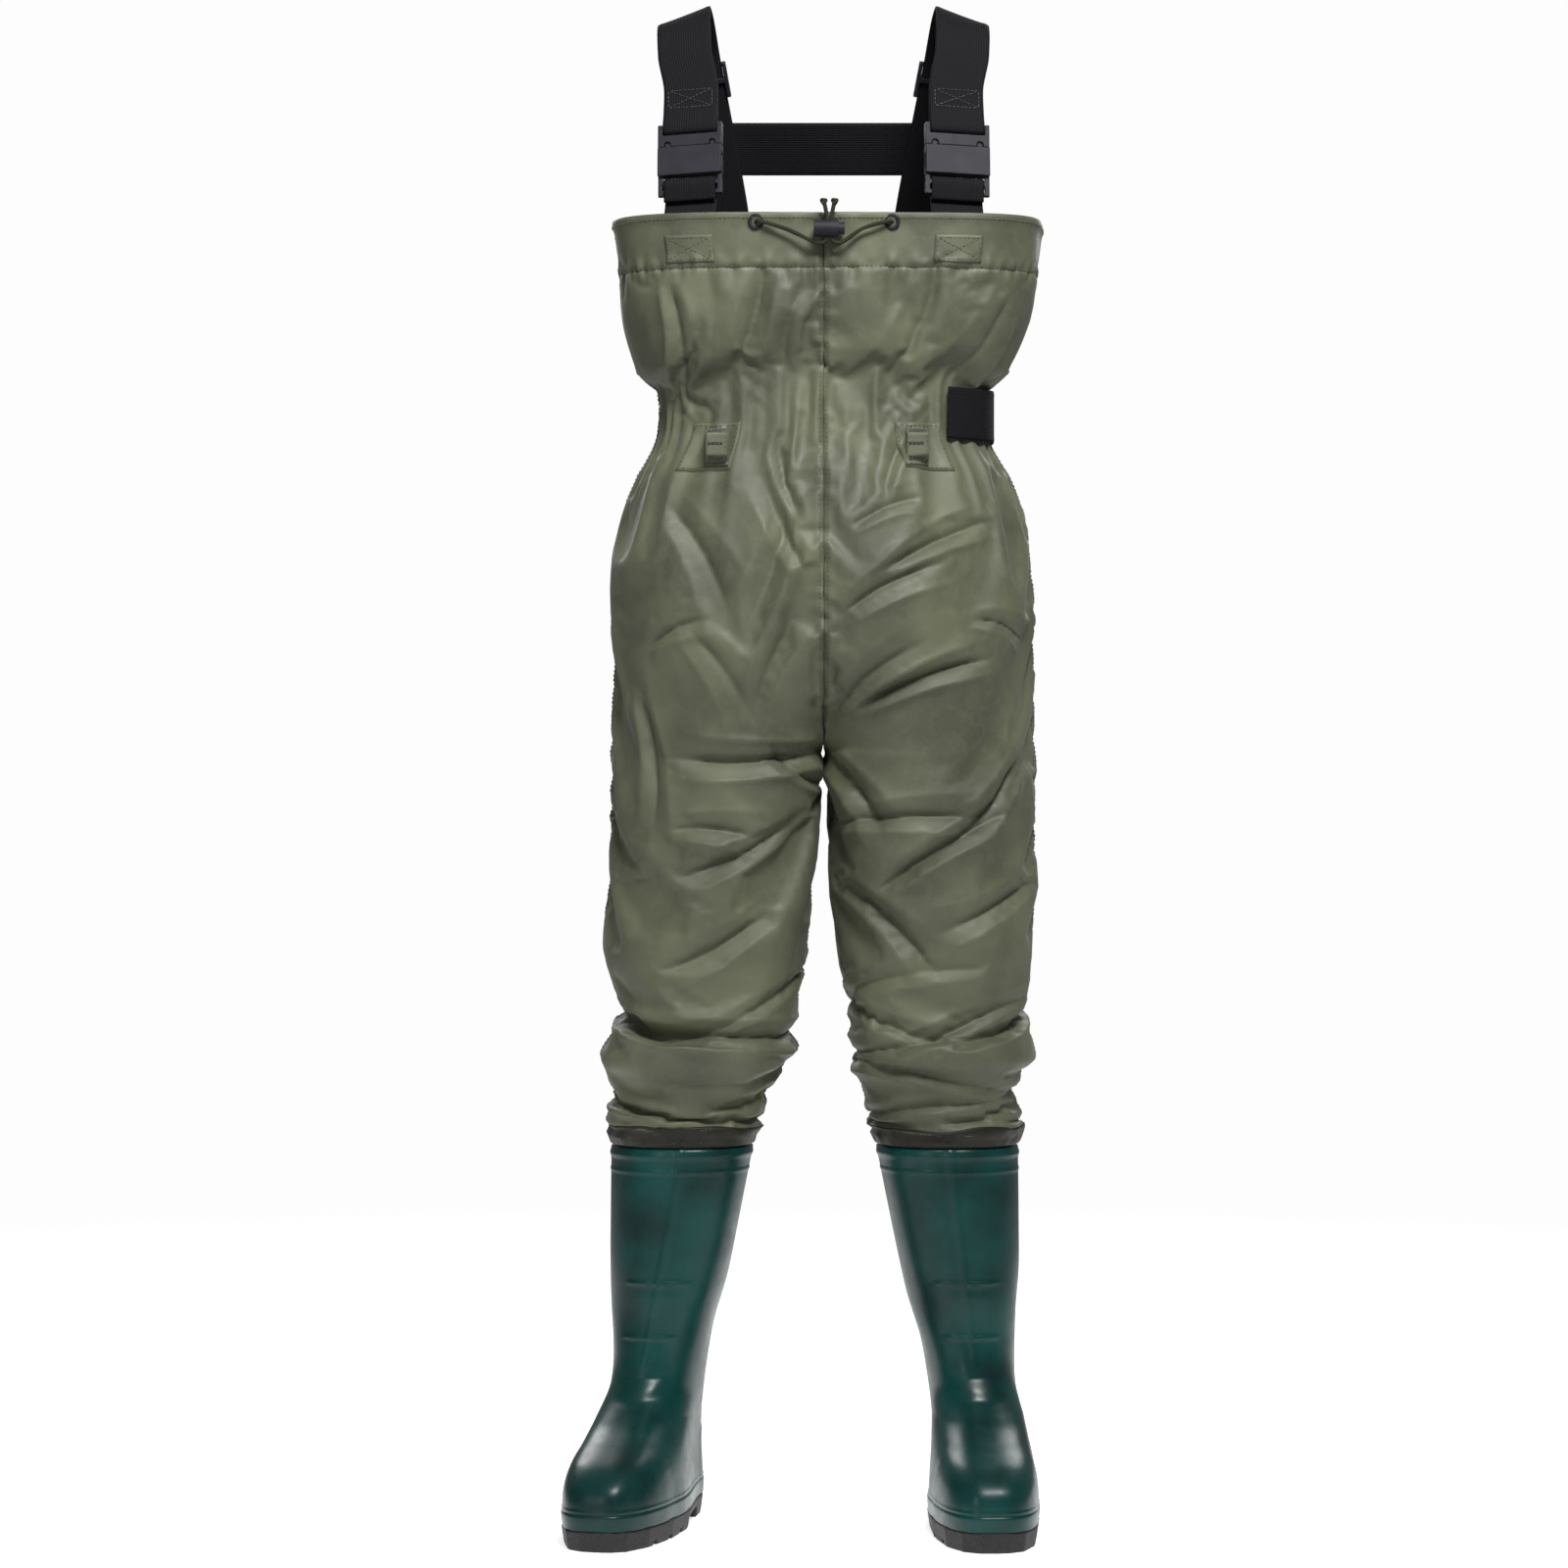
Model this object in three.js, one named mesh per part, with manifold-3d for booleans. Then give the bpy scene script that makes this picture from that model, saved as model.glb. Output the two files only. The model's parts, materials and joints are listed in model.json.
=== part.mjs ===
// Chest waders: a coated-nylon bib and legs joined to moulded boots, held up by webbing suspenders.
// Millimetres, +Z up, front faces -Y, the wearer's left is +X. The soles stand on z = 0.
import * as THREE from "three";
import { mergeVertices } from "three/addons/utils/BufferGeometryUtils.js";
import Module from "manifold-3d";

const wasm = await Module();
wasm.setup();

// Heights of the garment.
const cuffHeight = 377;
const inseam = 397;
const bodyRise = 328;
const bibHeight = 191;
const shoulderRise = 211;
const crotchHeight = cuffHeight + inseam;
const waistHeight = crotchHeight + bodyRise;
const bibTop = waistHeight + bibHeight;
const shoulderHeight = bibTop + shoulderRise;
const riseDepth = 125; // height over which the crotch curve reaches the full body depth

// Half widths and half depths of the garment.
const bibHalfWidth = 213;
const bibHalfDepth = 125;
const waistHalfWidth = 162;
const waistHalfDepth = 102;
const hipHalfWidth = 210;
const hipHalfDepth = 131;
const thighHalfDepth = 107;
const kneeHalfDepth = 92;
const cuffHalfWidth = 71;
const cuffHalfDepth = 73;

// Layers.
const clothThickness = 2.4;
const tapeThickness = 0.6;
const elasticThickness = 1.5;
const patchThickness = 1;
const layerGap = 0.3; // clearance between pieces that touch
const hemDepth = 53; // drawcord channel at the bib's top

// Legs and boots, wearer's right (-X) and left (+X).
const legs = [
  { name: "right", side: -1, cuffX: 141, ankleX: 168, kneeBulge: 12, toeOut: 15 },
  { name: "left", side: 1, cuffX: 124.5, ankleX: 152, kneeBulge: 2, toeOut: 3 },
];
const soleThickness = 20;
const bootTop = cuffHeight + 22; // the shaft ends inside the trouser leg
const lipHeight = cuffHeight - 3; // the shaft is upright from here up
const ankleHeight = 140;
const ankleHalfWidth = 43.5;
const footHalfWidth = 54;
const footFront = 208; // ankle axis to toe
const footBack = 77; // ankle axis to heel
const bootWall = 3.5;
const shaftSlack = 1.2; // the flat-sided cuff's own clearance round the shaft
const insoleThickness = 3;
const weldBandThickness = 1.2;
const grooveWidth = 7;
const grooveDepth = 5;

// Webbing, buckles and adjusters.
const webWidth = 54;
const webThickness = 2;
const tabRise = 20; // webbing seen between the bib and the buckle
const strapX = 131; // centre of the front straps at the bib
const strapTopX = 142; // and over the shoulder
const strapBackX = 101; // and at the bib's back
const shoulderRadius = 62;
const buckleWidth = webWidth + 10;
const buckleThickness = 12;
const barSize = 4.4;
const buckle = { bar: 12.5, body: 20.5, mouth: 50, seat: 50.4, strapBar: 69, top: 73.5 };
const webClearance = 0.4;
const armThickness = 5;
const armInset = 2; // arm's outer face inside the housing's cavity
const glide = { height: 36, below: 21, rail: 4, bar: 5, barThickness: 2.6 };
const crossWidth = 55;
const crossUp = 97; // cross strap's middle, along the strap from the rear hinge

// Belt, loops, cord and cord lock.
const beltWidth = 51;
const beltThickness = 1.7;
const beltHalfWidth = 171.5;
const loopWidth = 22;
const loopThickness = 1.2;
const cordRadius = 2;
const cordSlack = 1.15;
const eyeletBore = cordRadius + 2.7; // room for the cord's slant through the eyelet
const eyeletBarrel = eyeletBore + 1;
const cordEntry = 24; // from the eyelet to where the cord lies in its channel
const eyeletX = 66;
const eyeletDrop = 9;
const lock = { x: 2, drop: 17, radius: 8.5, bore: 6.4, length: 24, wall: 2.2, button: 6, travel: 4 };
const lockCordX = 3; // the cords pass through the barrel this far from its middle

const rad = THREE.MathUtils.degToRad;
const vec = (x, y, z) => new THREE.Vector3(x, y, z);
const model = new THREE.Group();

// ---------------------------------------------------------------- solids and booleans

function solidOf(geometry) {
  const bare = geometry.clone();
  bare.deleteAttribute("normal");
  bare.deleteAttribute("uv");
  const merged = mergeVertices(bare, 1e-4);
  const mesh = new wasm.Mesh({
    numProp: 3,
    vertProperties: new Float32Array(merged.attributes.position.array),
    triVerts: new Uint32Array(merged.index.array),
  });
  return new wasm.Manifold(mesh);
}

function geometryOf(solid) {
  const mesh = solid.getMesh();
  const geometry = new THREE.BufferGeometry();
  geometry.setAttribute("position", new THREE.BufferAttribute(mesh.vertProperties, 3));
  geometry.setIndex(new THREE.BufferAttribute(mesh.triVerts, 1));
  return geometry;
}

const join = (...parts) => geometryOf(parts.map(solidOf).reduce((a, b) => a.add(b)));
const cut = (base, ...tools) =>
  geometryOf(tools.map(solidOf).reduce((a, b) => a.subtract(b), solidOf(base)));

const box = (width, depth, height, x, y, z) =>
  new THREE.BoxGeometry(width, depth, height).translate(x, y, z);

// A rod along x, y or z.
function rod(radius, length, axis, x, y, z, sides = 20) {
  const geometry = new THREE.CylinderGeometry(radius, radius, length, sides);
  if (axis === "x") geometry.rotateZ(Math.PI / 2);
  if (axis === "z") geometry.rotateX(Math.PI / 2);
  return geometry.translate(x, y, z);
}

// Turns the faces round when they point inwards.
function facingOut(geometry) {
  const index = geometry.index.array;
  const point = (i) => new THREE.Vector3().fromBufferAttribute(geometry.attributes.position, index[i]);
  let volume = 0;
  for (let i = 0; i < index.length; i += 3) volume += point(i).dot(point(i + 1).cross(point(i + 2)));
  if (volume < 0) for (let i = 0; i < index.length; i += 3) [index[i], index[i + 1]] = [index[i + 1], index[i]];
  return geometry;
}

function meshGeometry(points, index) {
  const geometry = new THREE.BufferGeometry();
  geometry.setAttribute("position", new THREE.Float32BufferAttribute(points.flatMap((p) => p.toArray()), 3));
  geometry.setIndex(index);
  return facingOut(geometry);
}

// A curved plate between two grids of points; wrap closes it into a ring.
function slab(outer, inner, wrap = false) {
  const rows = outer.length;
  const cols = outer[0].length;
  const inside = rows * cols;
  const at = (j, i) => j * cols + (i % cols);
  const index = [];
  const quad = (a, b, c, d) => index.push(a, b, c, a, c, d);
  const lastCol = wrap ? cols : cols - 1;
  for (let i = 0; i < lastCol; i++) {
    for (let j = 0; j < rows - 1; j++) {
      const [a, b, c, d] = [at(j, i), at(j, i + 1), at(j + 1, i + 1), at(j + 1, i)];
      quad(a, b, c, d);
      quad(inside + a, inside + d, inside + c, inside + b);
    }
    const [low, high] = [0, rows - 1];
    quad(inside + at(low, i), inside + at(low, i + 1), at(low, i + 1), at(low, i));
    quad(at(high, i), at(high, i + 1), inside + at(high, i + 1), inside + at(high, i));
  }
  for (let j = 0; j < rows - 1 && !wrap; j++) {
    const [a, d] = [at(j, 0), at(j + 1, 0)];
    const [b, c] = [at(j, cols - 1), at(j + 1, cols - 1)];
    quad(a, d, inside + d, inside + a);
    quad(c, b, inside + b, inside + c);
  }
  return meshGeometry([...outer.flat(), ...inner.flat()], index);
}

// A stack of closed rings with a flat cap at each end.
function loft(rings) {
  const cols = rings[0].length;
  const index = [];
  for (let j = 0; j < rings.length - 1; j++)
    for (let i = 0; i < cols; i++) {
      const [a, b] = [j * cols + i, j * cols + ((i + 1) % cols)];
      index.push(a, b, b + cols, a, b + cols, a + cols);
    }
  const centre = (ring) => ring.reduce((sum, p) => sum.add(p), vec(0, 0, 0)).divideScalar(cols);
  const points = [...rings.flat(), centre(rings[0]), centre(rings.at(-1))];
  const top = (rings.length - 1) * cols;
  for (let i = 0; i < cols; i++) {
    const next = (i + 1) % cols;
    index.push(points.length - 2, next, i);
    index.push(points.length - 1, top + i, top + next);
  }
  return meshGeometry(points, index);
}

// A flat strap along a path. Its width follows the hint at each point, made square to the path.
function ribbon(path, width, thickness, hints) {
  const rings = path.map((p, i) => {
    const along = path[Math.min(i + 1, path.length - 1)].clone().sub(path[Math.max(i - 1, 0)]).normalize();
    const hint = Array.isArray(hints) ? hints[i] : hints;
    const across = hint.clone().addScaledVector(along, -hint.dot(along)).normalize();
    const proud = across.clone().cross(along).normalize();
    const corner = (a, b) =>
      p.clone().addScaledVector(across, (a * width) / 2).addScaledVector(proud, (b * thickness) / 2);
    return [corner(-1, -1), corner(1, -1), corner(1, 1), corner(-1, 1)];
  });
  return loft(rings);
}

function tube(points, radius, sides, steps) {
  const ring = new THREE.Shape();
  ring.absarc(0, 0, radius, 0, 2 * Math.PI);
  const curve = new THREE.CatmullRomCurve3(points, false, "centripetal");
  return new THREE.ExtrudeGeometry(ring, { extrudePath: curve, steps, curveSegments: sides / 2, bevelEnabled: false });
}

// ---------------------------------------------------------------- materials and placing

const finish = (color, roughness, metalness = 0) =>
  new THREE.MeshStandardMaterial({ color, roughness, metalness });
const cloth = finish(0x5f624f, 0.6);
const darkCloth = finish(0x4a4d3d, 0.65);
const tapeFinish = finish(0x2f3226, 0.5);
const boot = finish(0x1a4842, 0.35);
const soleFinish = finish(0x121016, 0.7);
const lining = finish(0x8b8a7c, 0.9);
const webbing = finish(0x1e1e22, 0.85);
const plastic = finish(0x37363d, 0.45);
const cordFinish = finish(0x24251f, 0.8);
const steel = finish(0x9a9c9e, 0.35, 1);

function add(name, geometry, material, matrix) {
  const mesh = new THREE.Mesh(geometry, material);
  mesh.name = name;
  if (matrix) mesh.applyMatrix4(matrix);
  model.add(mesh);
  return mesh;
}

// ---------------------------------------------------------------- the garment's surface

const legAt = (share) => cuffHeight + share * (crotchHeight - cuffHeight);
const hipAt = (share) => crotchHeight + share * (waistHeight - crotchHeight);
const bibAt = (share) => waistHeight + share * (bibTop - waistHeight);

// Sections from cuff to bib: height, inner and outer distance from the centre plane, half depth.
function sectionsOf({ side, cuffX, kneeBulge }) {
  const lean = side * 5; // the bib hangs a little towards the wearer's left
  return [
    [legAt(0), cuffX - cuffHalfWidth, cuffX + cuffHalfWidth, cuffHalfDepth],
    [legAt(0.06), cuffX - cuffHalfWidth - 4, cuffX + cuffHalfWidth + 2, cuffHalfDepth + 3],
    [legAt(0.14), cuffX - cuffHalfWidth - 13, cuffX + cuffHalfWidth - 6, cuffHalfDepth + 8],
    [legAt(0.23), 30 + kneeBulge / 2, 208 + kneeBulge, kneeHalfDepth + 3],
    [legAt(0.33), 29, 200, kneeHalfDepth - 2],
    [legAt(0.5), 17, 206 + kneeBulge, kneeHalfDepth + 7],
    [legAt(0.7), 10, 211, thighHalfDepth - 3],
    [legAt(0.9), 6, 211, thighHalfDepth],
    [legAt(1), 0, hipHalfWidth + 1, thighHalfDepth + 3],
    [hipAt(0.2), 0, hipHalfWidth, hipHalfDepth - 9],
    [hipAt(0.42), 0, hipHalfWidth, hipHalfDepth],
    [hipAt(0.6), 0, hipHalfWidth - 3, hipHalfDepth],
    [hipAt(0.82), 0, hipHalfWidth - 22, hipHalfDepth - 14],
    [hipAt(0.92), 0, waistHalfWidth + 4, waistHalfDepth + 3],
    [hipAt(1), 0, waistHalfWidth, waistHalfDepth],
    [bibAt(0.14), 0, waistHalfWidth + 4, waistHalfDepth + 2],
    [bibAt(0.28), 0, waistHalfWidth + 22, bibHalfDepth - 17],
    [bibAt(0.5), 0, bibHalfWidth - 14 + lean / 2, bibHalfDepth - 9],
    [bibAt(0.72), 0, bibHalfWidth - 6 + lean, bibHalfDepth - 4],
    [bibAt(1), 0, bibHalfWidth + lean, bibHalfDepth],
  ];
}
const sections = new Map(legs.map((leg) => [leg.side, sectionsOf(leg)]));

// A smooth value of one column of the sections at a height.
function columnAt(rows, column, z) {
  const k = Math.min(Math.max(rows.findIndex((row) => row[0] > z) - 1, 0), rows.length - 2);
  const i = z >= rows.at(-1)[0] ? rows.length - 2 : k;
  const slope = (j) => {
    const [a, b] = [rows[Math.max(j - 1, 0)], rows[Math.min(j + 1, rows.length - 1)]];
    return (b[column] - a[column]) / (b[0] - a[0]);
  };
  const span = rows[i + 1][0] - rows[i][0];
  const t = THREE.MathUtils.clamp((z - rows[i][0]) / span, 0, 1);
  const [t2, t3] = [t * t, t * t * t];
  return (
    (2 * t3 - 3 * t2 + 1) * rows[i][column] +
    (t3 - 2 * t2 + t) * span * slope(i) +
    (3 * t2 - 2 * t3) * rows[i + 1][column] +
    (t3 - t2) * span * slope(i + 1)
  );
}

// The unit point of a rounded box outline in a direction.
function squircle(angle, power) {
  const [c, s] = [Math.cos(angle), Math.sin(angle)];
  const reach = (Math.abs(c) ** power + Math.abs(s) ** power) ** (-1 / power);
  return [c * reach, s * reach];
}

// A point of one half of the garment: u runs from the centre front (or inseam) at 0, past the side
// seam at 0.5, to the centre back (or inseam) at 1.
function garmentPoint(side, u, z) {
  const rows = sections.get(side);
  const [inner, outer, depth] = [1, 2, 3].map((column) => columnAt(rows, column, z));
  const [lc, ls] = squircle(2 * Math.PI * u, 2.2);
  const legX = (inner + outer) / 2 - (lc * (outer - inner)) / 2;
  const legPoint = [legX, -ls * depth];
  const rise = THREE.MathUtils.clamp((z - crotchHeight) / riseDepth, 0, 1);
  const seamShare = Math.sqrt(1 - (1 - rise) ** 2); // the crotch seam is a quarter round
  const bodyShare = THREE.MathUtils.smoothstep(z, crotchHeight - 90, crotchHeight + riseDepth);
  const nearSeam = (0.5 + 0.5 * Math.cos(2 * Math.PI * u)) ** 4;
  const full = THREE.MathUtils.lerp(bodyShare, seamShare, nearSeam);
  const power = 2.5 + 1.5 * THREE.MathUtils.smoothstep(z, waistHeight, bibTop);
  const [tc, ts] = squircle(Math.PI * u, power);
  return vec(
    side * Math.max(THREE.MathUtils.lerp(legPoint[0], ts * outer, full), 0),
    THREE.MathUtils.lerp(legPoint[1], -tc * depth, full),
    z,
  );
}

// The same, moved outwards by an offset.
function offsetPoint(side, u, z, offset) {
  const step = 1e-3;
  const across = garmentPoint(side, u + step, z).sub(garmentPoint(side, u - step, z));
  const up = garmentPoint(side, u, Math.min(z + 1, bibTop)).sub(garmentPoint(side, u, Math.max(z - 1, cuffHeight)));
  const out = across.cross(up).multiplyScalar(side).normalize();
  return garmentPoint(side, u, z).addScaledVector(out, offset);
}

const range = (from, to, steps) =>
  Array.from({ length: steps + 1 }, (_, i) => from + ((to - from) * i) / steps);

// Rows and columns of the cloth panels' facets.
const panelColumns = 8;
const clothHeights = [
  ...range(legAt(0), legAt(0.5), 8),
  ...range(legAt(0.6), legAt(1), 4),
  ...[0.1, 0.3, 0.6].map((share) => crotchHeight + share * riseDepth),
  ...range(crotchHeight + riseDepth, hipAt(0.72), 2),
  ...range(hipAt(0.82), hipAt(1), 2),
  ...range(bibAt(0.14), bibTop, 5),
];

// A point on the panels' flat facets, so that what lies on the cloth follows it closely.
function clothPoint(side, u, z, offset) {
  const turn = ((u % 1) + 1) % 1 || (u >= 1 ? 1 : 0);
  const col = Math.min(Math.floor(turn * 2 * panelColumns), 2 * panelColumns - 1);
  const row = Math.max(0, Math.min(clothHeights.findLastIndex((h) => h <= z), clothHeights.length - 2));
  const [low, high] = [clothHeights[row], clothHeights[row + 1]];
  const across = turn * 2 * panelColumns - col;
  const up = (z - low) / (high - low);
  const corner = (i, j) => offsetPoint(side, (col + i) / (2 * panelColumns), j ? high : low, offset);
  const bottom = corner(0, 0).lerp(corner(1, 0), across);
  return bottom.lerp(corner(0, 1).lerp(corner(1, 1), across), up);
}

// The direction out of the cloth's facet at a point.
function clothOut(side, u, z) {
  const step = 0.002;
  const across = clothPoint(side, u + step, z, 0).sub(clothPoint(side, u - step, z, 0));
  const up = clothPoint(side, u, z, 0).sub(clothPoint(side, u, z - 1, 0));
  return across.cross(up).multiplyScalar(side).normalize();
}

// A point round the whole body: w = 0 is the centre front, 0.25 the left side, 0.5 the centre back.
function bodyPoint(w, z, offset) {
  const turn = ((w % 1) + 1) % 1;
  return turn <= 0.5 ? clothPoint(1, 2 * turn, z, offset) : clothPoint(-1, 2 - 2 * turn, z, offset);
}

// Columns from one to another with the facets' own edges between them.
function columnsBetween(from, to) {
  const edges = range(0, 1, 2 * panelColumns).filter((u) => u > Math.min(from, to) && u < Math.max(from, to));
  return [Math.min(from, to), ...edges, Math.max(from, to)];
}
function rowsBetween(from, to) {
  return [from, ...clothHeights.filter((z) => z > from + 1 && z < to - 1), to];
}

// A layer of the garment over a patch of (u or w) and z, between two offsets.
function layer(pointAt, columns, heights, near, far, wrap = false) {
  const grid = (offset) => heights.map((z) => columns.map((c) => pointAt(c, z, offset)));
  return slab(grid(near), grid(far), wrap);
}

// Where a half's outline at height z reaches |x|, on the front or on the back.
function columnAtX(side, x, z, back) {
  let [low, high] = back ? [0.5, 1] : [0, 0.5];
  for (let i = 0; i < 40; i++) {
    const mid = (low + high) / 2;
    const beyond = Math.abs(clothPoint(side, mid, z, 0).x) > x;
    if (beyond !== back) high = mid;
    else low = mid;
  }
  return (low + high) / 2;
}

// ---------------------------------------------------------------- cloth, tapes and bands

function eyeletPlace(side) {
  const z = bibTop - eyeletDrop;
  const u = columnAtX(side, eyeletX, z, false);
  return { place: clothPoint(side, u, z, 0), out: clothOut(side, u, z) };
}

function eyeletMatrix(side) {
  const { place, out } = eyeletPlace(side);
  const turn = new THREE.Quaternion().setFromUnitVectors(vec(0, 1, 0), out);
  return new THREE.Matrix4().compose(place, turn, vec(1, 1, 1));
}


for (const { name, side } of legs) {
  const smooth = (u, z, offset) => offsetPoint(side, u, z, offset);
  const half = (u, z, offset) => clothPoint(side, u, z, offset);
  const parting = (y) => new THREE.Matrix4().makeTranslation((side * layerGap) / 2, (y * layerGap) / 2, 0);
  const hole = new THREE.CylinderGeometry(eyeletBarrel + layerGap, eyeletBarrel + layerGap, 12, 16);
  const front = layer(smooth, range(0, 0.5, panelColumns), clothHeights, 0, -clothThickness);
  const frontCut = cut(front.applyMatrix4(parting(-1)), hole.applyMatrix4(eyeletMatrix(side)));
  add(`front_panel_${name}`, frontCut, cloth);
  const back = layer(smooth, range(0.5, 1, panelColumns), clothHeights, 0, -clothThickness);
  add(`back_panel_${name}`, back.applyMatrix4(parting(1)), cloth);

  // Seam tapes welded over the side seam and inseam, inside.
  const under = -clothThickness - layerGap;
  const tapeFoot = bootTop + 4;
  const tapeColumns = range(-0.012, 0.012, 2);
  const sideHeights = clothHeights.filter((z) => z > tapeFoot && z < bibTop - hemDepth);
  const aboutSide = (c, z, offset) => clothPoint(side, 0.5 + c, z, offset);
  add(`side_tape_${name}`, layer(aboutSide, tapeColumns, sideHeights, under, under - tapeThickness), tapeFinish);
  const inseamHeights = clothHeights.filter((z) => z > tapeFoot && z < crotchHeight - 5);
  add(`inseam_tape_${name}`, layer(half, tapeColumns, inseamHeights, under, under - tapeThickness), tapeFinish);

  // Band that welds the cuff to the boot's shaft.
  const weldHeights = [cuffHeight + 4, cuffHeight + 19];
  const weld = layer(half, range(0, 1, 2 * panelColumns).slice(0, -1), weldHeights, under, under - weldBandThickness, true);
  add(`cuff_weld_${name}`, weld, tapeFinish);
}

const ringColumns = range(0, 1, 4 * panelColumns).slice(0, -1);
const under = -clothThickness - layerGap;
const seamHeights = clothHeights.filter((z) => z >= crotchHeight + riseDepth && z < bibTop - hemDepth);
for (const [name, centre] of [["centre_front_tape", 0], ["centre_back_tape", 0.5]]) {
  const columns = range(centre - 0.007, centre + 0.007, 2);
  add(name, layer(bodyPoint, columns, seamHeights, under, under - tapeThickness), tapeFinish);
}

const channel = 2 * cordRadius + 2 * cordSlack; // room for the drawcord
const facingHeights = [bibTop - hemDepth, bibTop - hemDepth / 2, bibTop - 1];
add("hem_facing", layer(bodyPoint, ringColumns, facingHeights, under - channel, under - channel - 1, true), darkCloth);

const elasticTop = under - tapeThickness - layerGap;
const elasticHeights = [waistHeight - 24, waistHeight - 12, waistHeight];
add(
  "waist_elastic",
  layer(bodyPoint, ringColumns, elasticHeights, elasticTop, elasticTop - elasticThickness, true),
  tapeFinish,
);

// ---------------------------------------------------------------- boots

// Boot sections from sole to top: height, reach forwards, reach backwards, half width, and how much of
// the ball's extra width there is.
const rebate = clothThickness + weldBandThickness + 3 * layerGap + shaftSlack;
const bootSections = [
  [soleThickness + layerGap, footFront - 3, footBack - 1, footHalfWidth - 1, 1],
  [35, footFront, footBack, footHalfWidth, 1],
  [58, footFront - 5, footBack - 3, footHalfWidth - 1, 1],
  [76, footFront - 26, footBack - 5, footHalfWidth - 3, 0.9],
  [92, footFront - 62, footBack - 6, footHalfWidth - 5, 0.7],
  [112, footFront - 104, footBack - 7, ankleHalfWidth + 3, 0.4],
  [ankleHeight, 74, footBack - 9, ankleHalfWidth, 0],
  [185, 64, 64, ankleHalfWidth + 4, 0],
  [244, 67, 67, 58, 0],
  [310, 70, 70, 65, 0],
  [lipHeight, cuffHalfDepth, cuffHalfDepth, cuffHalfWidth, 0],
  [cuffHeight, cuffHalfDepth - rebate, cuffHalfDepth - rebate, cuffHalfWidth - rebate, 0],
  [bootTop, cuffHalfDepth - rebate, cuffHalfDepth - rebate, cuffHalfWidth - rebate, 0],
];

function bootCentre(leg, z) {
  const share = THREE.MathUtils.clamp((z - 110) / (lipHeight - 110), 0, 1);
  return leg.side * THREE.MathUtils.lerp(leg.ankleX, leg.cuffX, share);
}

function bootRing(leg, [z, front, back, half, ball], inset, height = z) {
  const turn = rad(leg.side * leg.toeOut) * (1 - THREE.MathUtils.smoothstep(height, 110, lipHeight));
  return range(0, 1, 24)
    .slice(0, -1)
    .map((share) => {
      const [c, s] = squircle(2 * Math.PI * share, 2.2 + ball);
      const y = s < 0 ? s * (front - inset) : s * (back - inset);
      const towardsToe = THREE.MathUtils.smoothstep(-y, -back * 0.5, front * 0.45);
      const x = c * (half - inset) * (1 - 0.3 * ball * (1 - towardsToe));
      const spin = vec(x, y, height).applyAxisAngle(vec(0, 0, 1), turn);
      return spin.add(vec(bootCentre(leg, height), 0, 0));
    });
}

for (const leg of legs) {
  const floor = soleThickness + layerGap + bootWall;
  const outer = bootSections.map((section) => bootRing(leg, section, 0));
  const inner = bootSections.slice(1).map((section) => bootRing(leg, section, bootWall));
  const sock = bootRing(leg, bootSections[0], bootWall, floor);
  add(`boot_${leg.name}`, loft([...outer, ...inner.reverse(), sock]), boot);

  const insole = [floor + layerGap, floor + layerGap + insoleThickness];
  const insoleRings = insole.map((z) => bootRing(leg, bootSections[0], bootWall + 1.5, z));
  add(`insole_${leg.name}`, loft(insoleRings), lining);

  const soleRings = [0, soleThickness].map((z) => bootRing(leg, bootSections[0], z ? -3 : 0, z));
  const grooves = [-150, -115, -80, 45].map((y) => box(160, grooveWidth, 2 * grooveDepth, 0, y, 0));
  const arch = box(160, 62, 22, 0, -18, 0);
  const place = new THREE.Matrix4().makeRotationZ(rad(leg.side * leg.toeOut));
  place.setPosition(bootCentre(leg, 0), 0, 0);
  add(`outsole_${leg.name}`, cut(loft(soleRings), ...[...grooves, arch].map((g) => g.applyMatrix4(place))), soleFinish);
}

// ---------------------------------------------------------------- suspenders

// The rear hinge line is where the webbing bends at the bib's top edge, outside the back.
const hingeHeight = bibTop + 3;
const hingeGap = 2.6; // bare stretch of webbing that bends
const hingeY =
  clothPoint(1, columnAtX(1, strapBackX - webWidth / 2, bibTop, true), bibTop, 0).y + 2 * layerGap + webThickness / 2;

// Front strap: it leaves the bib inside the hem and leans back so that the buckle pulls straight out
// along its arc about the rear hinge.
const hemInside = clothThickness + channel + 1 + 4 * layerGap + webThickness;
const atX = (side, x, z, back = false) => clothPoint(side, columnAtX(side, x, z, back), z, 0);
// The straight line across the cloth under a strap's width: its middle's y and its direction.
function chord(side, x, z, width, back = false) {
  const near = atX(side, x - width / 2, z, back);
  const far = atX(side, x + width / 2, z, back);
  return { y: (near.y + far.y) / 2, across: far.sub(near).multiplyScalar(side).normalize() };
}
const chordInside = (z) => Math.max(...legs.map(({ side }) => chord(side, strapX, z, webWidth).y)) + hemInside;
const tabY = chordInside(bibTop - 1);
const engaged = (buckle.body + buckle.mouth) / 2;
const reachBack = hingeY - tabY;
const reachUp = bibTop + tabRise - hingeHeight;
const lean = Math.atan2(reachUp, reachBack) + Math.asin(engaged / Math.hypot(reachBack, reachUp));

// Strap's side view: front line, arc over the shoulder, rear line down to the hinge.
const buckleStart = vec(strapX, tabY + tabRise * Math.tan(lean), bibTop + tabRise);
const arcHeight = shoulderHeight - shoulderRadius;
const arcY =
  buckleStart.y + (arcHeight + shoulderRadius * Math.sin(lean) - buckleStart.z) * Math.tan(lean) +
  shoulderRadius * Math.cos(lean);
const backReach = hingeY - arcY;
const backDrop = arcHeight - hingeHeight;
const backLean = Math.acos(shoulderRadius / Math.hypot(backReach, backDrop)) - Math.atan2(backDrop, backReach);

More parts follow.
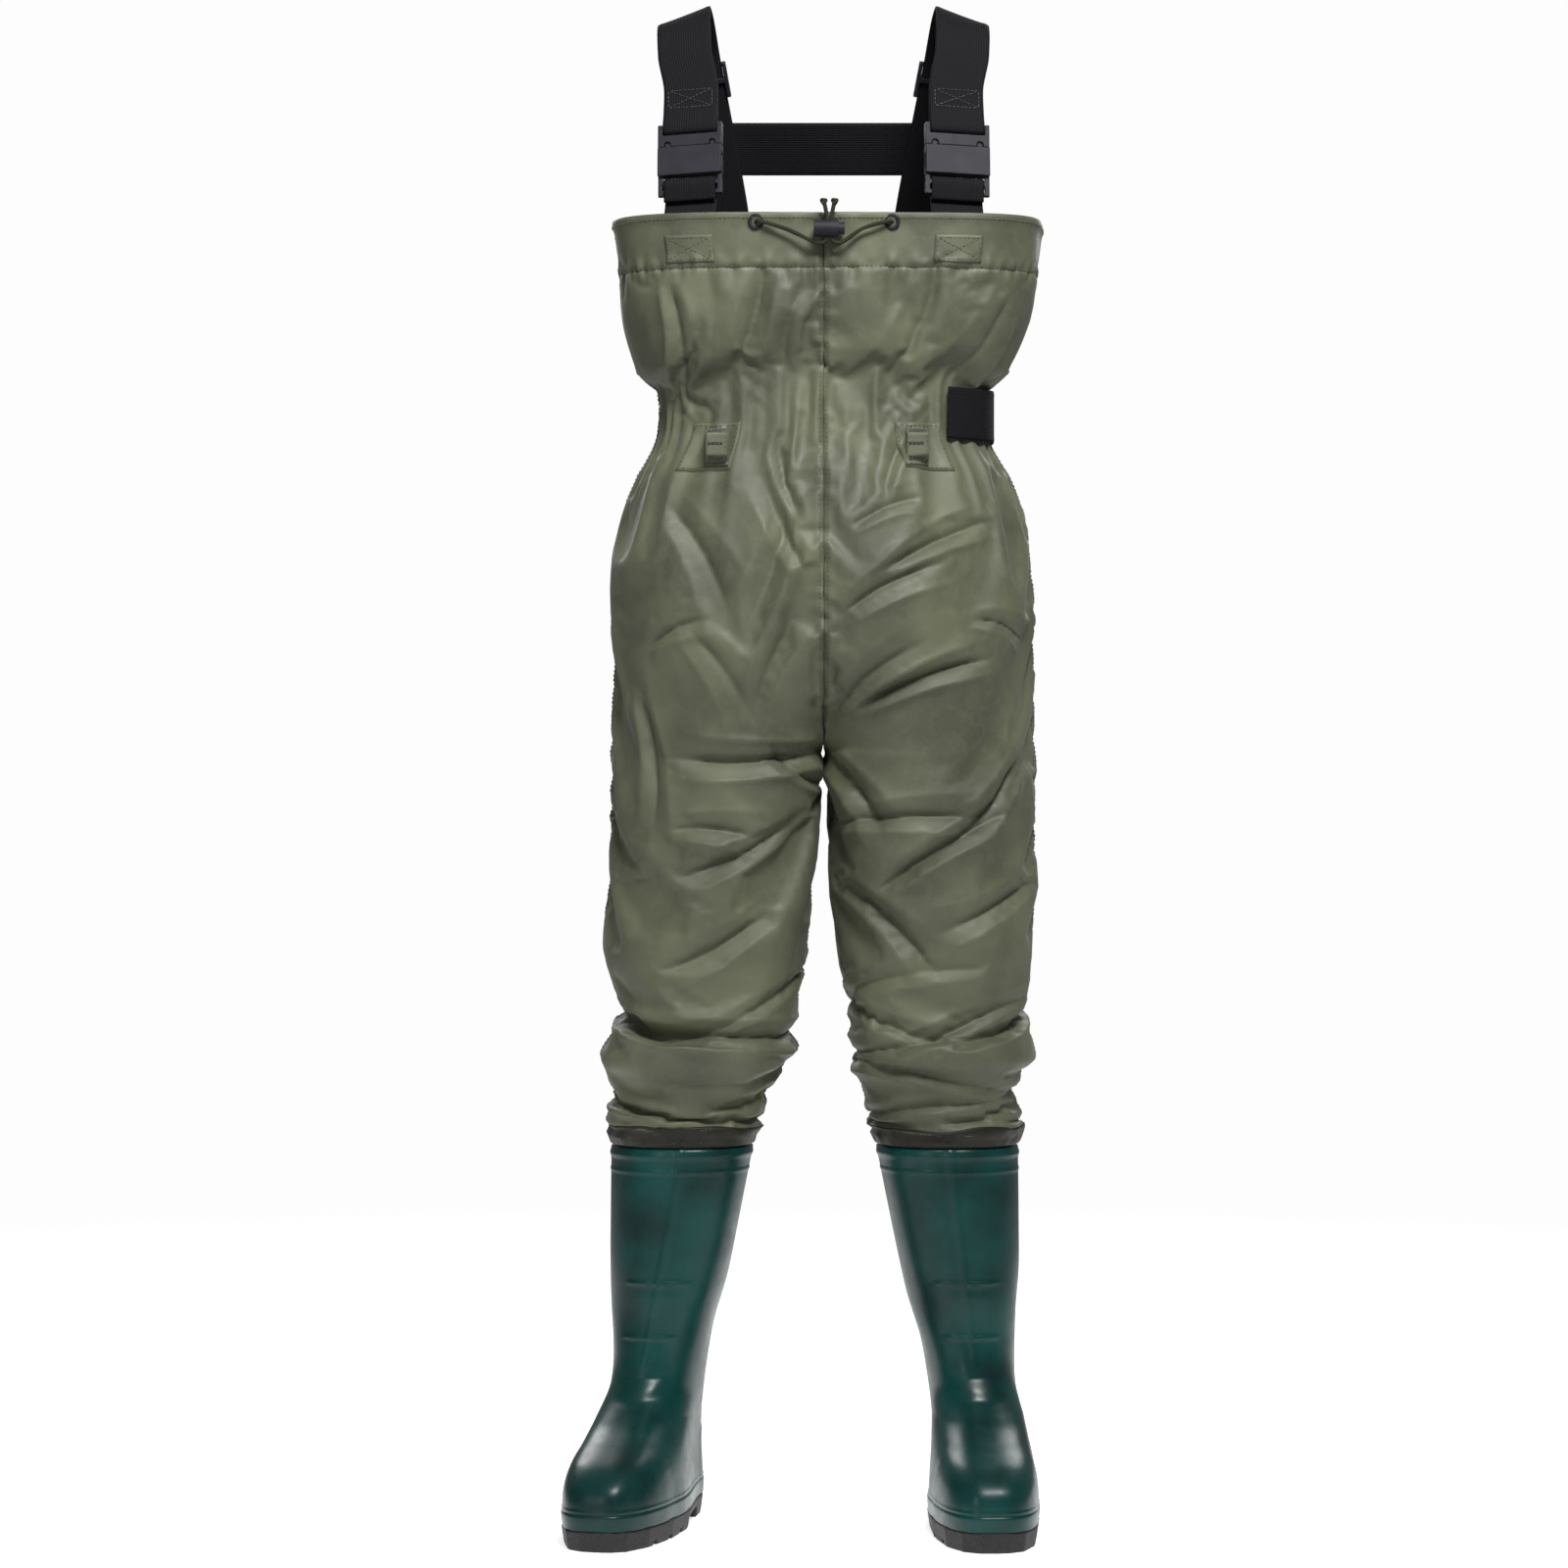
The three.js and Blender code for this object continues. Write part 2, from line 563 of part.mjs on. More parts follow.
for (const { name, side } of legs) {
  const up = vec(0, Math.sin(lean), Math.cos(lean));
  const { across } = chord(side, strapX, bibTop - 1, webWidth);
  across.addScaledVector(up, -across.dot(up)).normalize();
  const back = up.clone().cross(across);
  const start = vec(side * buckleStart.x, buckleStart.y, buckleStart.z);
  const onStrap = (depth, height) => start.clone().addScaledVector(back, depth).addScaledVector(up, height);
  const buckleFrame = new THREE.Matrix4().makeBasis(across, back, up).setPosition(start);
  const wrap = barSize * Math.SQRT1_2 + webClearance + webThickness / 2; // webbing's middle round a bar
  const turnRound = (centre, from, to) =>
    range(from, to, 5).map((a) => onStrap(wrap * Math.cos(rad(a)), centre + wrap * Math.sin(rad(a))));

  // Short tab: up from inside the hem, behind the frame's end rail, over the ladder bar and back down.
  const tabFoot = vec(start.x, chordInside(bibTop - 48), bibTop - 48);
  const tabHem = vec(start.x, tabY, bibTop - 2);
  const tabPath = [tabFoot, tabHem, onStrap(wrap, -6), onStrap(wrap, 4), ...turnRound(buckle.bar, 0, 180)];
  tabPath.push(onStrap(-wrap, 9));
  add(`front_tab_${name}`, ribbon(tabPath, webWidth - 2, webThickness, across), webbing);

  // Female half: frame with a slot and ladder bar, then the housing with side windows.
  const opening = webWidth + 2 * webClearance;
  const housing = buckle.mouth - buckle.body;
  const frame = box(buckleWidth, barSize, buckle.body + 1, 0, 0, (buckle.body + 1) / 2);
  const body = box(buckleWidth, buckleThickness, housing, 0, 0, buckle.body + housing / 2);
  const railTop = 4;
  const lowSlot = box(opening, 9, buckle.bar - barSize / 2 - railTop, 0, 0, (railTop + buckle.bar - barSize / 2) / 2);
  const highSlotBase = buckle.bar + barSize / 2;
  const highSlot = box(opening, 9, buckle.body - highSlotBase, 0, 0, (buckle.body + highSlotBase) / 2);
  const cavityFloor = buckle.body + 3.5;
  const cavity = box(webWidth, 8, housing, 0, 0, cavityFloor + housing / 2);
  const window = box(buckleWidth + 2, 6, 14, 0, 0, buckle.body + 14);
  add(`buckle_female_${name}`, cut(join(frame, body), lowSlot, highSlot, cavity, window), plastic, buckleFrame);

  // Male half: plate with the strap's bar, a guide tongue, and two spring arms hinged at the plate.
  const armRoot = webWidth / 2 - armInset - armThickness / 2;
  const plateHeight = buckle.top - buckle.seat;
  const plate = box(buckleWidth, 9.5, plateHeight, 0, 0, buckle.seat + plateHeight / 2);
  const strapSlotBase = buckle.strapBar - barSize / 2 - 4.2;
  const strapSlot = box(opening, 12, 4.2, 0, 0, strapSlotBase + 2.1);
  const aboveBar = box(opening, 12, 6, 0, 0, buckle.strapBar + barSize / 2 + 3);
  const thinBar = [-1, 1].map((y) => box(opening, 6, 12, 0, y * (barSize / 2 + 3), buckle.strapBar + 3));
  const tongue = box(15, 4.4, 18, 0, 0, buckle.seat - 8);
  const armSeat = [-1, 1].map((x) => rod(3.3, 12, "y", x * armRoot, 0, buckle.seat + 2, 16));
  const armThroat = [-1, 1].map((x) => box(6.6, 12, 4, x * armRoot, 0, buckle.seat));
  const male = cut(join(plate, tongue), strapSlot, aboveBar, ...thinBar, ...armSeat, ...armThroat);
  add(`buckle_male_${name}`, male, plastic, buckleFrame);
  for (const [place, x] of [["inner", -side], ["outer", side]]) {
    const root = rod(3, 6, "y", x * armRoot, 0, buckle.seat + 2, 16);
    const prong = box(armThickness, 5, 24, x * armRoot, 0, buckle.seat - 10);
    const barb = box(armThickness + 0.5, 5, 8, x * (armRoot + armThickness), 0, buckle.body + 13);
    add(`buckle_arm_${place}_${name}`, join(root, prong, barb), plastic, buckleFrame);
  }

  // Shoulder strap: end folded round the male bar, up the front, over the shoulder, down the back.
  const wrapDown = turnRound(buckle.strapBar, 0, -180);
  const foldEnd = [onStrap(webThickness / 2 - 1 + webThickness, buckle.top + 40), onStrap(wrap - 0.6, buckle.top + 8)];
  const frontLine = [onStrap(-wrap, buckle.strapBar + 4), onStrap(-1.2, buckle.top + 14), onStrap(-1, buckle.top + 42)];
  const arc = range(180 - THREE.MathUtils.radToDeg(lean), THREE.MathUtils.radToDeg(backLean), 9);
  const shareOver = (i) => i / (arc.length - 1);
  const overX = (i) => {
    const t = shareOver(i);
    return side * (strapTopX - 5 * (1 - t) ** 2 - 12 * t ** 2);
  };
  const arcPoint = (a, i) =>
    vec(overX(i), arcY + shoulderRadius * Math.cos(rad(a)), arcHeight + shoulderRadius * Math.sin(rad(a)));
  const over = arc.map(arcPoint);
  const hinge = vec(side * strapBackX, hingeY, hingeHeight);
  const rear = over.at(-1);
  const upRear = vec(0, -Math.sin(backLean), Math.cos(backLean));
  const foot = hinge.clone().addScaledVector(upRear, hingeGap);
  const footBend = hinge.clone().addScaledVector(upRear, 18);
  const downRear = footBend.clone().sub(rear).normalize();
  const path = [...foldEnd, ...wrapDown, ...frontLine, ...over, footBend, foot];
  const flat = vec(1, 0, 0);
  const hints = path.map((_, i) => {
    const k = i - (path.length - over.length - 2);
    if (k < 0) return across;
    const tilt = Math.sin(Math.PI * Math.min(shareOver(k), 1));
    return across.clone().lerp(flat, Math.min(shareOver(k), 1)).add(vec(0, 0, -side * 0.36 * tilt));
  });
  add(`shoulder_strap_${name}`, ribbon(path, webWidth, webThickness, hints), webbing);

  // Adjuster: a ladder frame with its end bars behind the strap and its middle bar before it.
  const rearAcross = flat.clone().addScaledVector(downRear, -downRear.x).normalize();
  const rearOut = rearAcross.clone().cross(downRear);
  const glideFrame = new THREE.Matrix4()
    .makeBasis(rearAcross, rearOut, downRear.clone().negate())
    .setPosition(rear.clone().addScaledVector(downRear, glide.below));
  const railX = webWidth / 2 + webClearance + glide.rail / 2;
  const barY = webThickness / 2 + webClearance + glide.barThickness / 2;
  const railDepth = 2 * barY + glide.barThickness;
  const rails = [-1, 1].map((x) => box(glide.rail, railDepth, glide.height, x * railX, 0, 0));
  const endZ = (glide.height - glide.bar) / 2;
  const bar = (y, z) => box(2 * railX, glide.barThickness, glide.bar, 0, y, z);
  const ends = [bar(barY, endZ), bar(barY, -endZ)];
  const middle = bar(-barY, 0);
  add(`adjuster_${name}`, join(...rails, ...ends, middle), plastic, glideFrame);

  // Webbing end sewn to the outside of the bib's back, below the hinge line.
  const tailHeights = [bibTop - 46, bibTop - 20, hingeHeight - hingeGap];
  const outY = hingeY;
  const tail = tailHeights.map((z) => vec(side * strapBackX, outY, z));
  add(`rear_anchor_${name}`, ribbon(tail, webWidth, webThickness, vec(1, 0, 0)), webbing);

  // Stitched box on the bib's front that holds the tab.
  const patchHeights = rowsBetween(bibTop - 47, bibTop - 21);
  const [patchStart, patchEnd] = [-22, 22].map((dx) => columnAtX(side, strapX + dx, bibTop - 34, false));
  const patchColumns = columnsBetween(patchStart, patchEnd);
  const half = (u, z, offset) => clothPoint(side, u, z, offset);
  add(
    `anchor_patch_${name}`,
    layer(half, patchColumns, patchHeights, layerGap + patchThickness, layerGap),
    cloth,
    new THREE.Matrix4().makeTranslation(0, -layerGap, 0),
  );
}

// Cross strap behind the two rear straps.
{
  const share = crossUp / Math.hypot(backReach - shoulderRadius * Math.cos(backLean), backDrop);
  const spread = strapBackX + share * (strapTopX - 12 - strapBackX) + webWidth / 2 - 2;
  const rise = vec(0, -Math.sin(backLean), Math.cos(backLean));
  const out = vec(0, Math.cos(backLean), Math.sin(backLean));
  const middle = vec(0, hingeY, hingeHeight).addScaledVector(rise, crossUp);
  middle.addScaledVector(out, webThickness + layerGap);
  const path = [-1, 0, 1].map((x) => middle.clone().add(vec(x * spread, 0, 0)));
  add("cross_strap", ribbon(path, crossWidth, webThickness, rise), webbing);
}

// ---------------------------------------------------------------- belt and loops

const beltHalfDepth = waistHalfDepth + 6;
const beltPower = 2.5;
function beltPoint(angle, z, offset) {
  const [c, s] = squircle(rad(angle), beltPower);
  return vec(s * (beltHalfWidth + offset), -c * (beltHalfDepth + offset), z);
}
const beltHeights = [waistHeight - beltWidth / 2, waistHeight + beltWidth / 2];
add("waist_belt", layer(beltPoint, range(42, 214, 20), beltHeights, 0, -beltThickness), webbing);

// Loops are strips sewn above and below; each stands clear of what passes under it.
function loopOver(side, x, back, middle, heights, proudAt) {
  const { across } = chord(side, x, middle, loopWidth, back);
  const out = back ? 1 : -1;
  const path = heights.map((dz) => {
    const z = middle + dz;
    const base = Math.max(...[-1, 0, 1].map((k) => {
      const dx = (k * loopWidth) / 2;
      return out * atX(side, x + dx, z, back).y - (across.y / across.x) * side * dx * out;
    }));
    return vec(side * x, out * (base + proudAt(dz)), z);
  });
  return ribbon(path, loopWidth, loopThickness, across);
}
for (const { name, side } of legs) {
  const half = beltWidth / 2;
  const rearX = 70;
  const sewn = 2 * layerGap + loopThickness / 2;
  const rearHeights = [-half - 14, -half - 6, -half - 2, half + 2, half + 6, half + 14];
  const beltY = beltHalfDepth * (1 - (rearX / beltHalfWidth) ** beltPower) ** (1 / beltPower);
  const overBelt = beltY - atX(side, rearX, waistHeight, true).y + 3;
  const rearProud = (dz) => (Math.abs(dz) < half + 4 ? overBelt : sewn);
  add(`rear_belt_loop_${name}`, loopOver(side, rearX, true, waistHeight, rearHeights, rearProud), cloth);

  const loopX = side < 0 ? 105 : 92;
  const loopMiddle = waistHeight - 33;
  const patchHeights = rowsBetween(loopMiddle - 22, loopMiddle + 22);
  const [patchStart, patchEnd] = [-17, 17].map((dx) => columnAtX(side, loopX + dx, loopMiddle, false));
  const pointAt = (u, z, offset) => clothPoint(side, u, z, offset);
  const patchColumns = columnsBetween(patchStart, patchEnd);
  const patch = layer(pointAt, patchColumns, patchHeights, layerGap + patchThickness, layerGap);
  add(`loop_patch_${name}`, patch.translate(0, -layerGap, 0), cloth);
  const onPatch = patchThickness + 4 * layerGap + sewn;
  const frontProud = (dz) => (Math.abs(dz) < 11 ? onPatch + 5 : onPatch);
  add(`belt_loop_${name}`, loopOver(side, loopX, false, loopMiddle, [-19, -13, -9, 9, 13, 19], frontProud), cloth);
}

// ---------------------------------------------------------------- drawcord, eyelets and cord lock

for (const { name, side } of legs) {
  const flange = eyeletBarrel + 2.3;
  const clampOut = layerGap;
  const profile = [
    [eyeletBore, -clothThickness - 0.9], [eyeletBarrel, -clothThickness - 0.9],
    [eyeletBarrel, clampOut], [flange, clampOut], [flange - 0.6, clampOut + 1], [eyeletBore, clampOut + 1],
    [eyeletBore, -clothThickness - 0.9],
  ].map(([x, y]) => new THREE.Vector2(x, y));
  const ring = new THREE.LatheGeometry(profile, 14);
  add(`eyelet_${name}`, ring, plastic, eyeletMatrix(side).premultiply(
    new THREE.Matrix4().makeTranslation((side * layerGap) / 2, -layerGap / 2, 0)));
}

const lockZ = bibTop - lock.drop;
const lockY = -bibHalfDepth - lock.radius - 3;
const cordSpread = cordRadius + 0.35;
const endLength = 19;
{
  const ringOffset = under - channel / 2;
  const cordZ = bibTop - eyeletDrop;
  // A point on the cord's slanted way through an eyelet, this far out of the cloth.
  const through = (side, distance) => {
    const { place, out } = eyeletPlace(side);
    const aside = vec(-side * Math.abs(out.y), side * out.x * Math.sign(-out.y), 0);
    return place.addScaledVector(out, distance).addScaledVector(aside, distance * 0.2);
  };
  const columnOf = (side) => {
    const u = columnAtX(side, eyeletX + cordEntry, cordZ, false) / 2;
    return side > 0 ? u : 1 - u;
  };
  const [from, to] = [columnOf(1), columnOf(-1)];
  const edges = range(0, 1, 8 * panelColumns).filter((w) => w > from + 0.006 && w < to - 0.006);
  const channelPoints = [from, ...edges, to].map((w) => bodyPoint(w, cordZ, ringOffset));
  const cordX = (side) => lock.x + lockCordX + side * cordSpread;
  const lead = (side) => [
    vec(cordX(side), lockY, lockZ + lock.radius + endLength),
    vec(cordX(side), lockY, lockZ + lock.radius),
    vec(cordX(side), lockY, lockZ - lock.radius),
    vec(cordX(side), lockY, lockZ - lock.radius - 4),
    vec(cordX(side) + side * 8, lockY + 2, lockZ - lock.radius - 6),
    vec(side * eyeletX * 0.6, -bibHalfDepth - 5, cordZ - 8),
    through(side, 5),
    through(side, 0),
    through(side, ringOffset),
  ];
  const cord = tube([...lead(1), ...channelPoints, ...lead(-1).reverse()], cordRadius, 6, 120);
  const knots = [-1, 1].map((side) =>
    new THREE.SphereGeometry(3.4, 8, 6).translate(cordX(side) + side * 1.4, lockY, lockZ + lock.radius + endLength));
  add("drawcord", join(cord, ...knots), cordFinish);

  const at = (geometry) => geometry.translate(lock.x, lockY, lockZ);
  const slotFor = (extra) =>
    box(2 * (2 * cordRadius + 0.7) + extra, 2 * cordRadius + 0.8, 40, lockCordX + extra / 2, 0, 0);
  const boreStart = -lock.length / 2 + lock.wall;
  const barrel = rod(lock.radius, lock.length, "x", 0, 0, 0, 24);
  const bore = rod(lock.bore, lock.length, "x", boreStart + lock.length / 2, 0, 0, 24);
  add("cord_lock_barrel", at(cut(barrel, bore, slotFor(0))), plastic);
  const plungerStart = lockCordX - 2 * cordRadius - 0.7 - 1.5;
  const plungerEnd = lock.length / 2 + lock.button;
  const stem = rod(lock.bore - 0.4, plungerEnd - plungerStart, "x", (plungerStart + plungerEnd) / 2, 0, 0, 20);
  add("cord_lock_plunger", at(cut(stem, slotFor(lock.travel + 0.4))), plastic);
  const coils = 3;
  const wire = 0.35;
  const springStart = boreStart + wire + layerGap;
  const springEnd = plungerStart - wire - layerGap;
  const springPoints = range(0, coils, coils * 8).map((turn) => {
    const angle = 2 * Math.PI * turn;
    const x = THREE.MathUtils.lerp(springStart, springEnd, turn / coils);
    return vec(x, 4.4 * Math.cos(angle), 4.4 * Math.sin(angle));
  });
  add("cord_lock_spring", at(tube(springPoints, wire, 4, coils * 10)), steel);
}

// ---------------------------------------------------------------- origin at the base, centred

const bounds = new THREE.Box3().setFromObject(model);
const centre = bounds.getCenter(vec(0, 0, 0));
model.position.set(-centre.x, -centre.y, -bounds.min.z);

export default model;
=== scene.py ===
"""Chest waders: coated-nylon bib and legs welded to moulded boots, with webbing suspenders."""
import json
import math

import bmesh
import bpy
import numpy as np
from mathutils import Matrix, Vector


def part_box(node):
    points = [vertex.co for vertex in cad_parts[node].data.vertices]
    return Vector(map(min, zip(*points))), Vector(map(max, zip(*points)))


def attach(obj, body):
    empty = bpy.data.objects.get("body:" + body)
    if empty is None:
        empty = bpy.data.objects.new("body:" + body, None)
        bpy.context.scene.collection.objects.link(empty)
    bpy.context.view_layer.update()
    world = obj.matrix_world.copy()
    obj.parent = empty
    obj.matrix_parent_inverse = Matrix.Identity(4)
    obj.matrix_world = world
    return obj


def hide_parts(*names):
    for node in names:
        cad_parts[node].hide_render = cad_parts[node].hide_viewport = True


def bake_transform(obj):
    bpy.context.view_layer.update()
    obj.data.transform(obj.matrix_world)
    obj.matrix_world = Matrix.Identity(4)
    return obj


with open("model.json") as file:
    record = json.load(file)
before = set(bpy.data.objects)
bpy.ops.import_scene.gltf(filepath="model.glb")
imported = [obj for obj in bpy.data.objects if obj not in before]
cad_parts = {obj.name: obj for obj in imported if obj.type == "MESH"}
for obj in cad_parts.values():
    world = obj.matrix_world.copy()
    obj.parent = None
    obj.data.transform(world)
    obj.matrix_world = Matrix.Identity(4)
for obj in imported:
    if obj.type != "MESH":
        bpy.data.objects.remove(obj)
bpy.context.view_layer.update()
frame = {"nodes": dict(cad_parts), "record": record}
MM = 0.001
SIDES = (("right", -1), ("left", 1))


def low(node):
    return np.array(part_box(node)[0])


def high(node):
    return np.array(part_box(node)[1])


# ---------------------------------------------------------------- places read from the frame

CENTRE_X = (low("centre_front_tape")[0] + high("centre_front_tape")[0]) / 2
CENTRE_Y = (high("front_panel_right")[1] + low("back_panel_right")[1]) / 2
CUFF_Z = low("front_panel_right")[2]
BIB_Z = high("front_panel_right")[2]
WAIST_Z = high("waist_elastic")[2]

# The garment's own sizes, in millimetres: heights from cuff to crotch, crotch to waist and waist to hem, the height
# over which the crotch curve reaches the full depth, and the middle of each cuff from the centre plane.
INSEAM, BODY_RISE, BIB_HEIGHT = 397, 328, 191
CROTCH_CURVE = 125
HEM_DEPTH = 53
CUFF_X = {-1: 141, 1: 124.5}
CUFF_HALF_WIDTH = 71
CLOTH_GIRTH = 700  # round one half of the garment, about
CROTCH_Z = CUFF_Z + INSEAM * MM
ACROSS = np.array([1.0, 0, 0])
UPWARDS = np.array([0, 0, 1.0])

# ---------------------------------------------------------------- camera

LENS = 99.1
CAMERA_ASIDE, CAMERA_AWAY, CAMERA_HEIGHT = 0.039, 4.33, 0.736
camera_data = bpy.data.cameras.new("camera")
camera_data.lens = LENS
camera_data.sensor_width = 36
camera = bpy.data.objects.new("camera", camera_data)
camera.location = (CENTRE_X - CAMERA_ASIDE, CENTRE_Y - CAMERA_AWAY, CAMERA_HEIGHT)
camera.rotation_euler = (math.radians(90), 0, 0)
bpy.context.scene.collection.objects.link(camera)
bpy.context.scene.camera = camera

# ---------------------------------------------------------------- finishes


def linear(hex_colour):
    """An sRGB hex colour as linear RGBA."""
    parts = [int(hex_colour[i:i + 2], 16) / 255 for i in (0, 2, 4)]
    rgb = [c / 12.92 if c <= 0.04045 else ((c + 0.055) / 1.055) ** 2.4 for c in parts]
    return (*rgb, 1.0)


def node(tree, kind, settings=None, out=0, **links):
    """Adds a node and gives one of its outputs.

    Settings are its own properties or its unlinked inputs, by name or place. Links are the sources that feed it, by
    input name, or by place as _0, _1 and so on.
    """
    made = tree.nodes.new(kind)
    for name, value in (settings or {}).items():
        if isinstance(name, str) and hasattr(made, name):
            setattr(made, name, value)
        else:
            made.inputs[name].default_value = value
    for name, source in links.items():
        tree.links.new(source, made.inputs[int(name[1:]) if name[0] == "_" else name.replace("_", " ")])
    return made.outputs[out]


def finish_of(name, **shader):
    """An empty finish with its principled shader, whose constant values are set on its own sockets."""
    material = bpy.data.materials.new(name)
    material.use_nodes = True
    tree = material.node_tree
    principled = tree.nodes["Principled BSDF"]
    for key, value in shader.items():
        principled.inputs[key.replace("_", " ")].default_value = value
    return material, tree, principled


def feed(tree, principled, **sources):
    """Links what varies over the surface to the shader."""
    for name, source in sources.items():
        tree.links.new(source, principled.inputs[name.replace("_", " ")])


def span(low_in, high_in, low_out=0.0, high_out=1.0):
    """Settings that turn one range of values into another."""
    return {"From Min": low_in, "From Max": high_in, "To Min": low_out, "To Max": high_out}


def between(first, second):
    """Settings for a blend from one colour to another."""
    return {"data_type": "RGBA", 6: linear(first), 7: linear(second)}


MIXED = 2  # the blend's colour output


def coated_nylon(name="coated_nylon", light="575a45", dark="3f4232"):
    """Nylon taffeta coated with PVC: a satin olive film over a fine grid of threads, dull in its folds."""
    material, tree, principled = finish_of(name, IOR=1.48, Sheen_Weight=0.05, Sheen_Roughness=0.5)
    place = node(tree, "ShaderNodeTexCoord", out="Object")
    # Broad unevenness of the dye and coating, about 90 mm across.
    patches = node(tree, "ShaderNodeTexNoise", {"Scale": 11.0, "Detail": 3.0}, Vector=place)
    share = node(tree, "ShaderNodeMapRange", span(0.35, 0.65), Value=patches)
    tone = node(tree, "ShaderNodeMix", between(dark, light), MIXED, _0=share)
    # Threads: 0.5 mm apart on the cloth, drawn 1.6 mm apart so that they show.
    weave, warp = (
        node(tree, "ShaderNodeTexWave", {"Scale": 200.0, "bands_direction": way, "Distortion": 0.4}, 1, Vector=place)
        for way in "ZX"
    )
    grid = node(tree, "ShaderNodeMath", {"operation": "MULTIPLY"}, _0=weave, _1=warp)
    # Small creases in the film, 12 mm across, where it goes paler.
    creases = node(tree, "ShaderNodeTexNoise", {"Scale": 85.0, "Detail": 4.0, "Distortion": 1.2}, Vector=place)
    paler = node(tree, "ShaderNodeMapRange", span(0.45, 0.75, 0.0, 0.22), Value=creases)
    colour = node(tree, "ShaderNodeMix", {"data_type": "RGBA", 7: linear("62654f")}, MIXED, _0=paler, _6=tone)
    rough = node(tree, "ShaderNodeMapRange", span(0.3, 0.7, 0.54, 0.66), Value=creases)
    threads = node(tree, "ShaderNodeBump", {"Strength": 0.12, "Distance": 0.0004}, Height=grid)
    film = node(tree, "ShaderNodeBump", {"Strength": 0.1, "Distance": 0.002}, Height=creases, Normal=threads)
    feed(tree, principled, Base_Color=colour, Roughness=rough, Normal=film)
    return material


def moulded_pvc():
    """Injection-moulded PVC: deep green, semi-gloss, with a slight orange peel and scuffs."""
    material, tree, principled = finish_of(
        "moulded_pvc", IOR=1.5, Specular_IOR_Level=0.25, Coat_Weight=0.04, Coat_Roughness=0.25
    )
    place = node(tree, "ShaderNodeTexCoord", out="Object")
    cloud = node(tree, "ShaderNodeTexNoise", {"Scale": 14.0, "Detail": 3.0}, Vector=place)
    share = node(tree, "ShaderNodeMapRange", span(0.35, 0.65), Value=cloud)
    colour = node(tree, "ShaderNodeMix", between("032423", "0a3d3a"), MIXED, _0=share)
    scuff = node(tree, "ShaderNodeTexNoise", {"Scale": 60.0, "Detail": 6.0, "Roughness": 0.7}, Vector=place)
    rough = node(tree, "ShaderNodeMapRange", span(0.3, 0.75, 0.27, 0.42), Value=scuff)
    peel = node(tree, "ShaderNodeTexNoise", {"Scale": 320.0, "Detail": 2.0}, Vector=place)
    bump = node(tree, "ShaderNodeBump", {"Strength": 0.1, "Distance": 0.0006}, Height=peel)
    feed(tree, principled, Base_Color=colour, Roughness=rough, Normal=bump)
    return material


def grained(name, dark, light, rough, grain_scale, strength, cloud_scale=30.0, **shader):
    """A finish with a fine grain: a clouded colour, uneven roughness and grain that stands up a little."""
    material, tree, principled = finish_of(name, **shader)
    place = node(tree, "ShaderNodeTexCoord", out="Object")
    cloud = node(tree, "ShaderNodeTexNoise", {"Scale": cloud_scale, "Detail": 4.0}, Vector=place)
    share = node(tree, "ShaderNodeMapRange", span(0.3, 0.7), Value=cloud)
    colour = node(tree, "ShaderNodeMix", between(dark, light), MIXED, _0=share)
    grain = node(tree, "ShaderNodeTexNoise", {"Scale": grain_scale, "Detail": 3.0}, Vector=place)
    uneven = node(tree, "ShaderNodeMapRange", span(0.3, 0.7, *rough), Value=grain)
    bump = node(tree, "ShaderNodeBump", {"Strength": strength, "Distance": 0.0005}, Height=grain)
    feed(tree, principled, Base_Color=colour, Roughness=uneven, Normal=bump)
    return material


def woven(name, dark, light, across_mm, along_mm):
    """Woven tape: ribs run along it and picks cross them. Its UV is in millimetres, across and along."""
    material, tree, principled = finish_of(name, Roughness=0.8, IOR=1.4, Specular_IOR_Level=0.2)
    uv = node(tree, "ShaderNodeTexCoord", out="UV")
    waves = []
    for axis, spacing in (("X", across_mm), ("Y", along_mm)):
        along = node(tree, "ShaderNodeSeparateXYZ", out=axis, Vector=uv)
        turned = node(tree, "ShaderNodeMath", {"operation": "MULTIPLY", 1: 2 * math.pi / spacing}, _0=along)
        waves.append(node(tree, "ShaderNodeMath", {"operation": "SINE"}, _0=turned))
    both = node(tree, "ShaderNodeMath", {"operation": "MULTIPLY"}, _0=waves[0], _1=waves[1])
    height = node(tree, "ShaderNodeMath", {"operation": "MULTIPLY_ADD", 1: 0.6}, _0=both, _2=waves[0])
    share = node(tree, "ShaderNodeMapRange", span(-1.2, 1.2), Value=height)
    colour = node(tree, "ShaderNodeMix", between(dark, light), MIXED, _0=share)
    bump = node(tree, "ShaderNodeBump", {"Strength": 0.4, "Distance": 0.0005}, Height=height)
    feed(tree, principled, Base_Color=colour, Normal=bump)
    return material


NYLON = coated_nylon()
# A darker copy of the same cloth for the hem facing inside the bib: painted shade of the garment's inside.
NYLON_PAINTED_SHADE = coated_nylon("coated_nylon_inside", "3d3e31", "2e2f25")
PVC = moulded_pvc()
# Moulded rubber: near black, matt, with a coarse grain that catches a little light.
RUBBER = grained("moulded_rubber", "0e0d0f", "1b191b", (0.55, 0.75), 420.0, 0.25, IOR=1.52)
# Welded seam tape: a smooth rubbery film, darker than the cloth.
TAPE = grained("welded_seam_tape", "2c2e22", "3a3c2e", (0.4, 0.55), 300.0, 0.1, IOR=1.5)
# Welded cuff binding: a brown-olive film, wrinkled where it was pulled round.
BINDING = grained(
    "welded_cuff_binding", "17160f", "252219", (0.45, 0.6), 160.0, 0.4, 25.0, IOR=1.5, Specular_IOR_Level=0.25
)
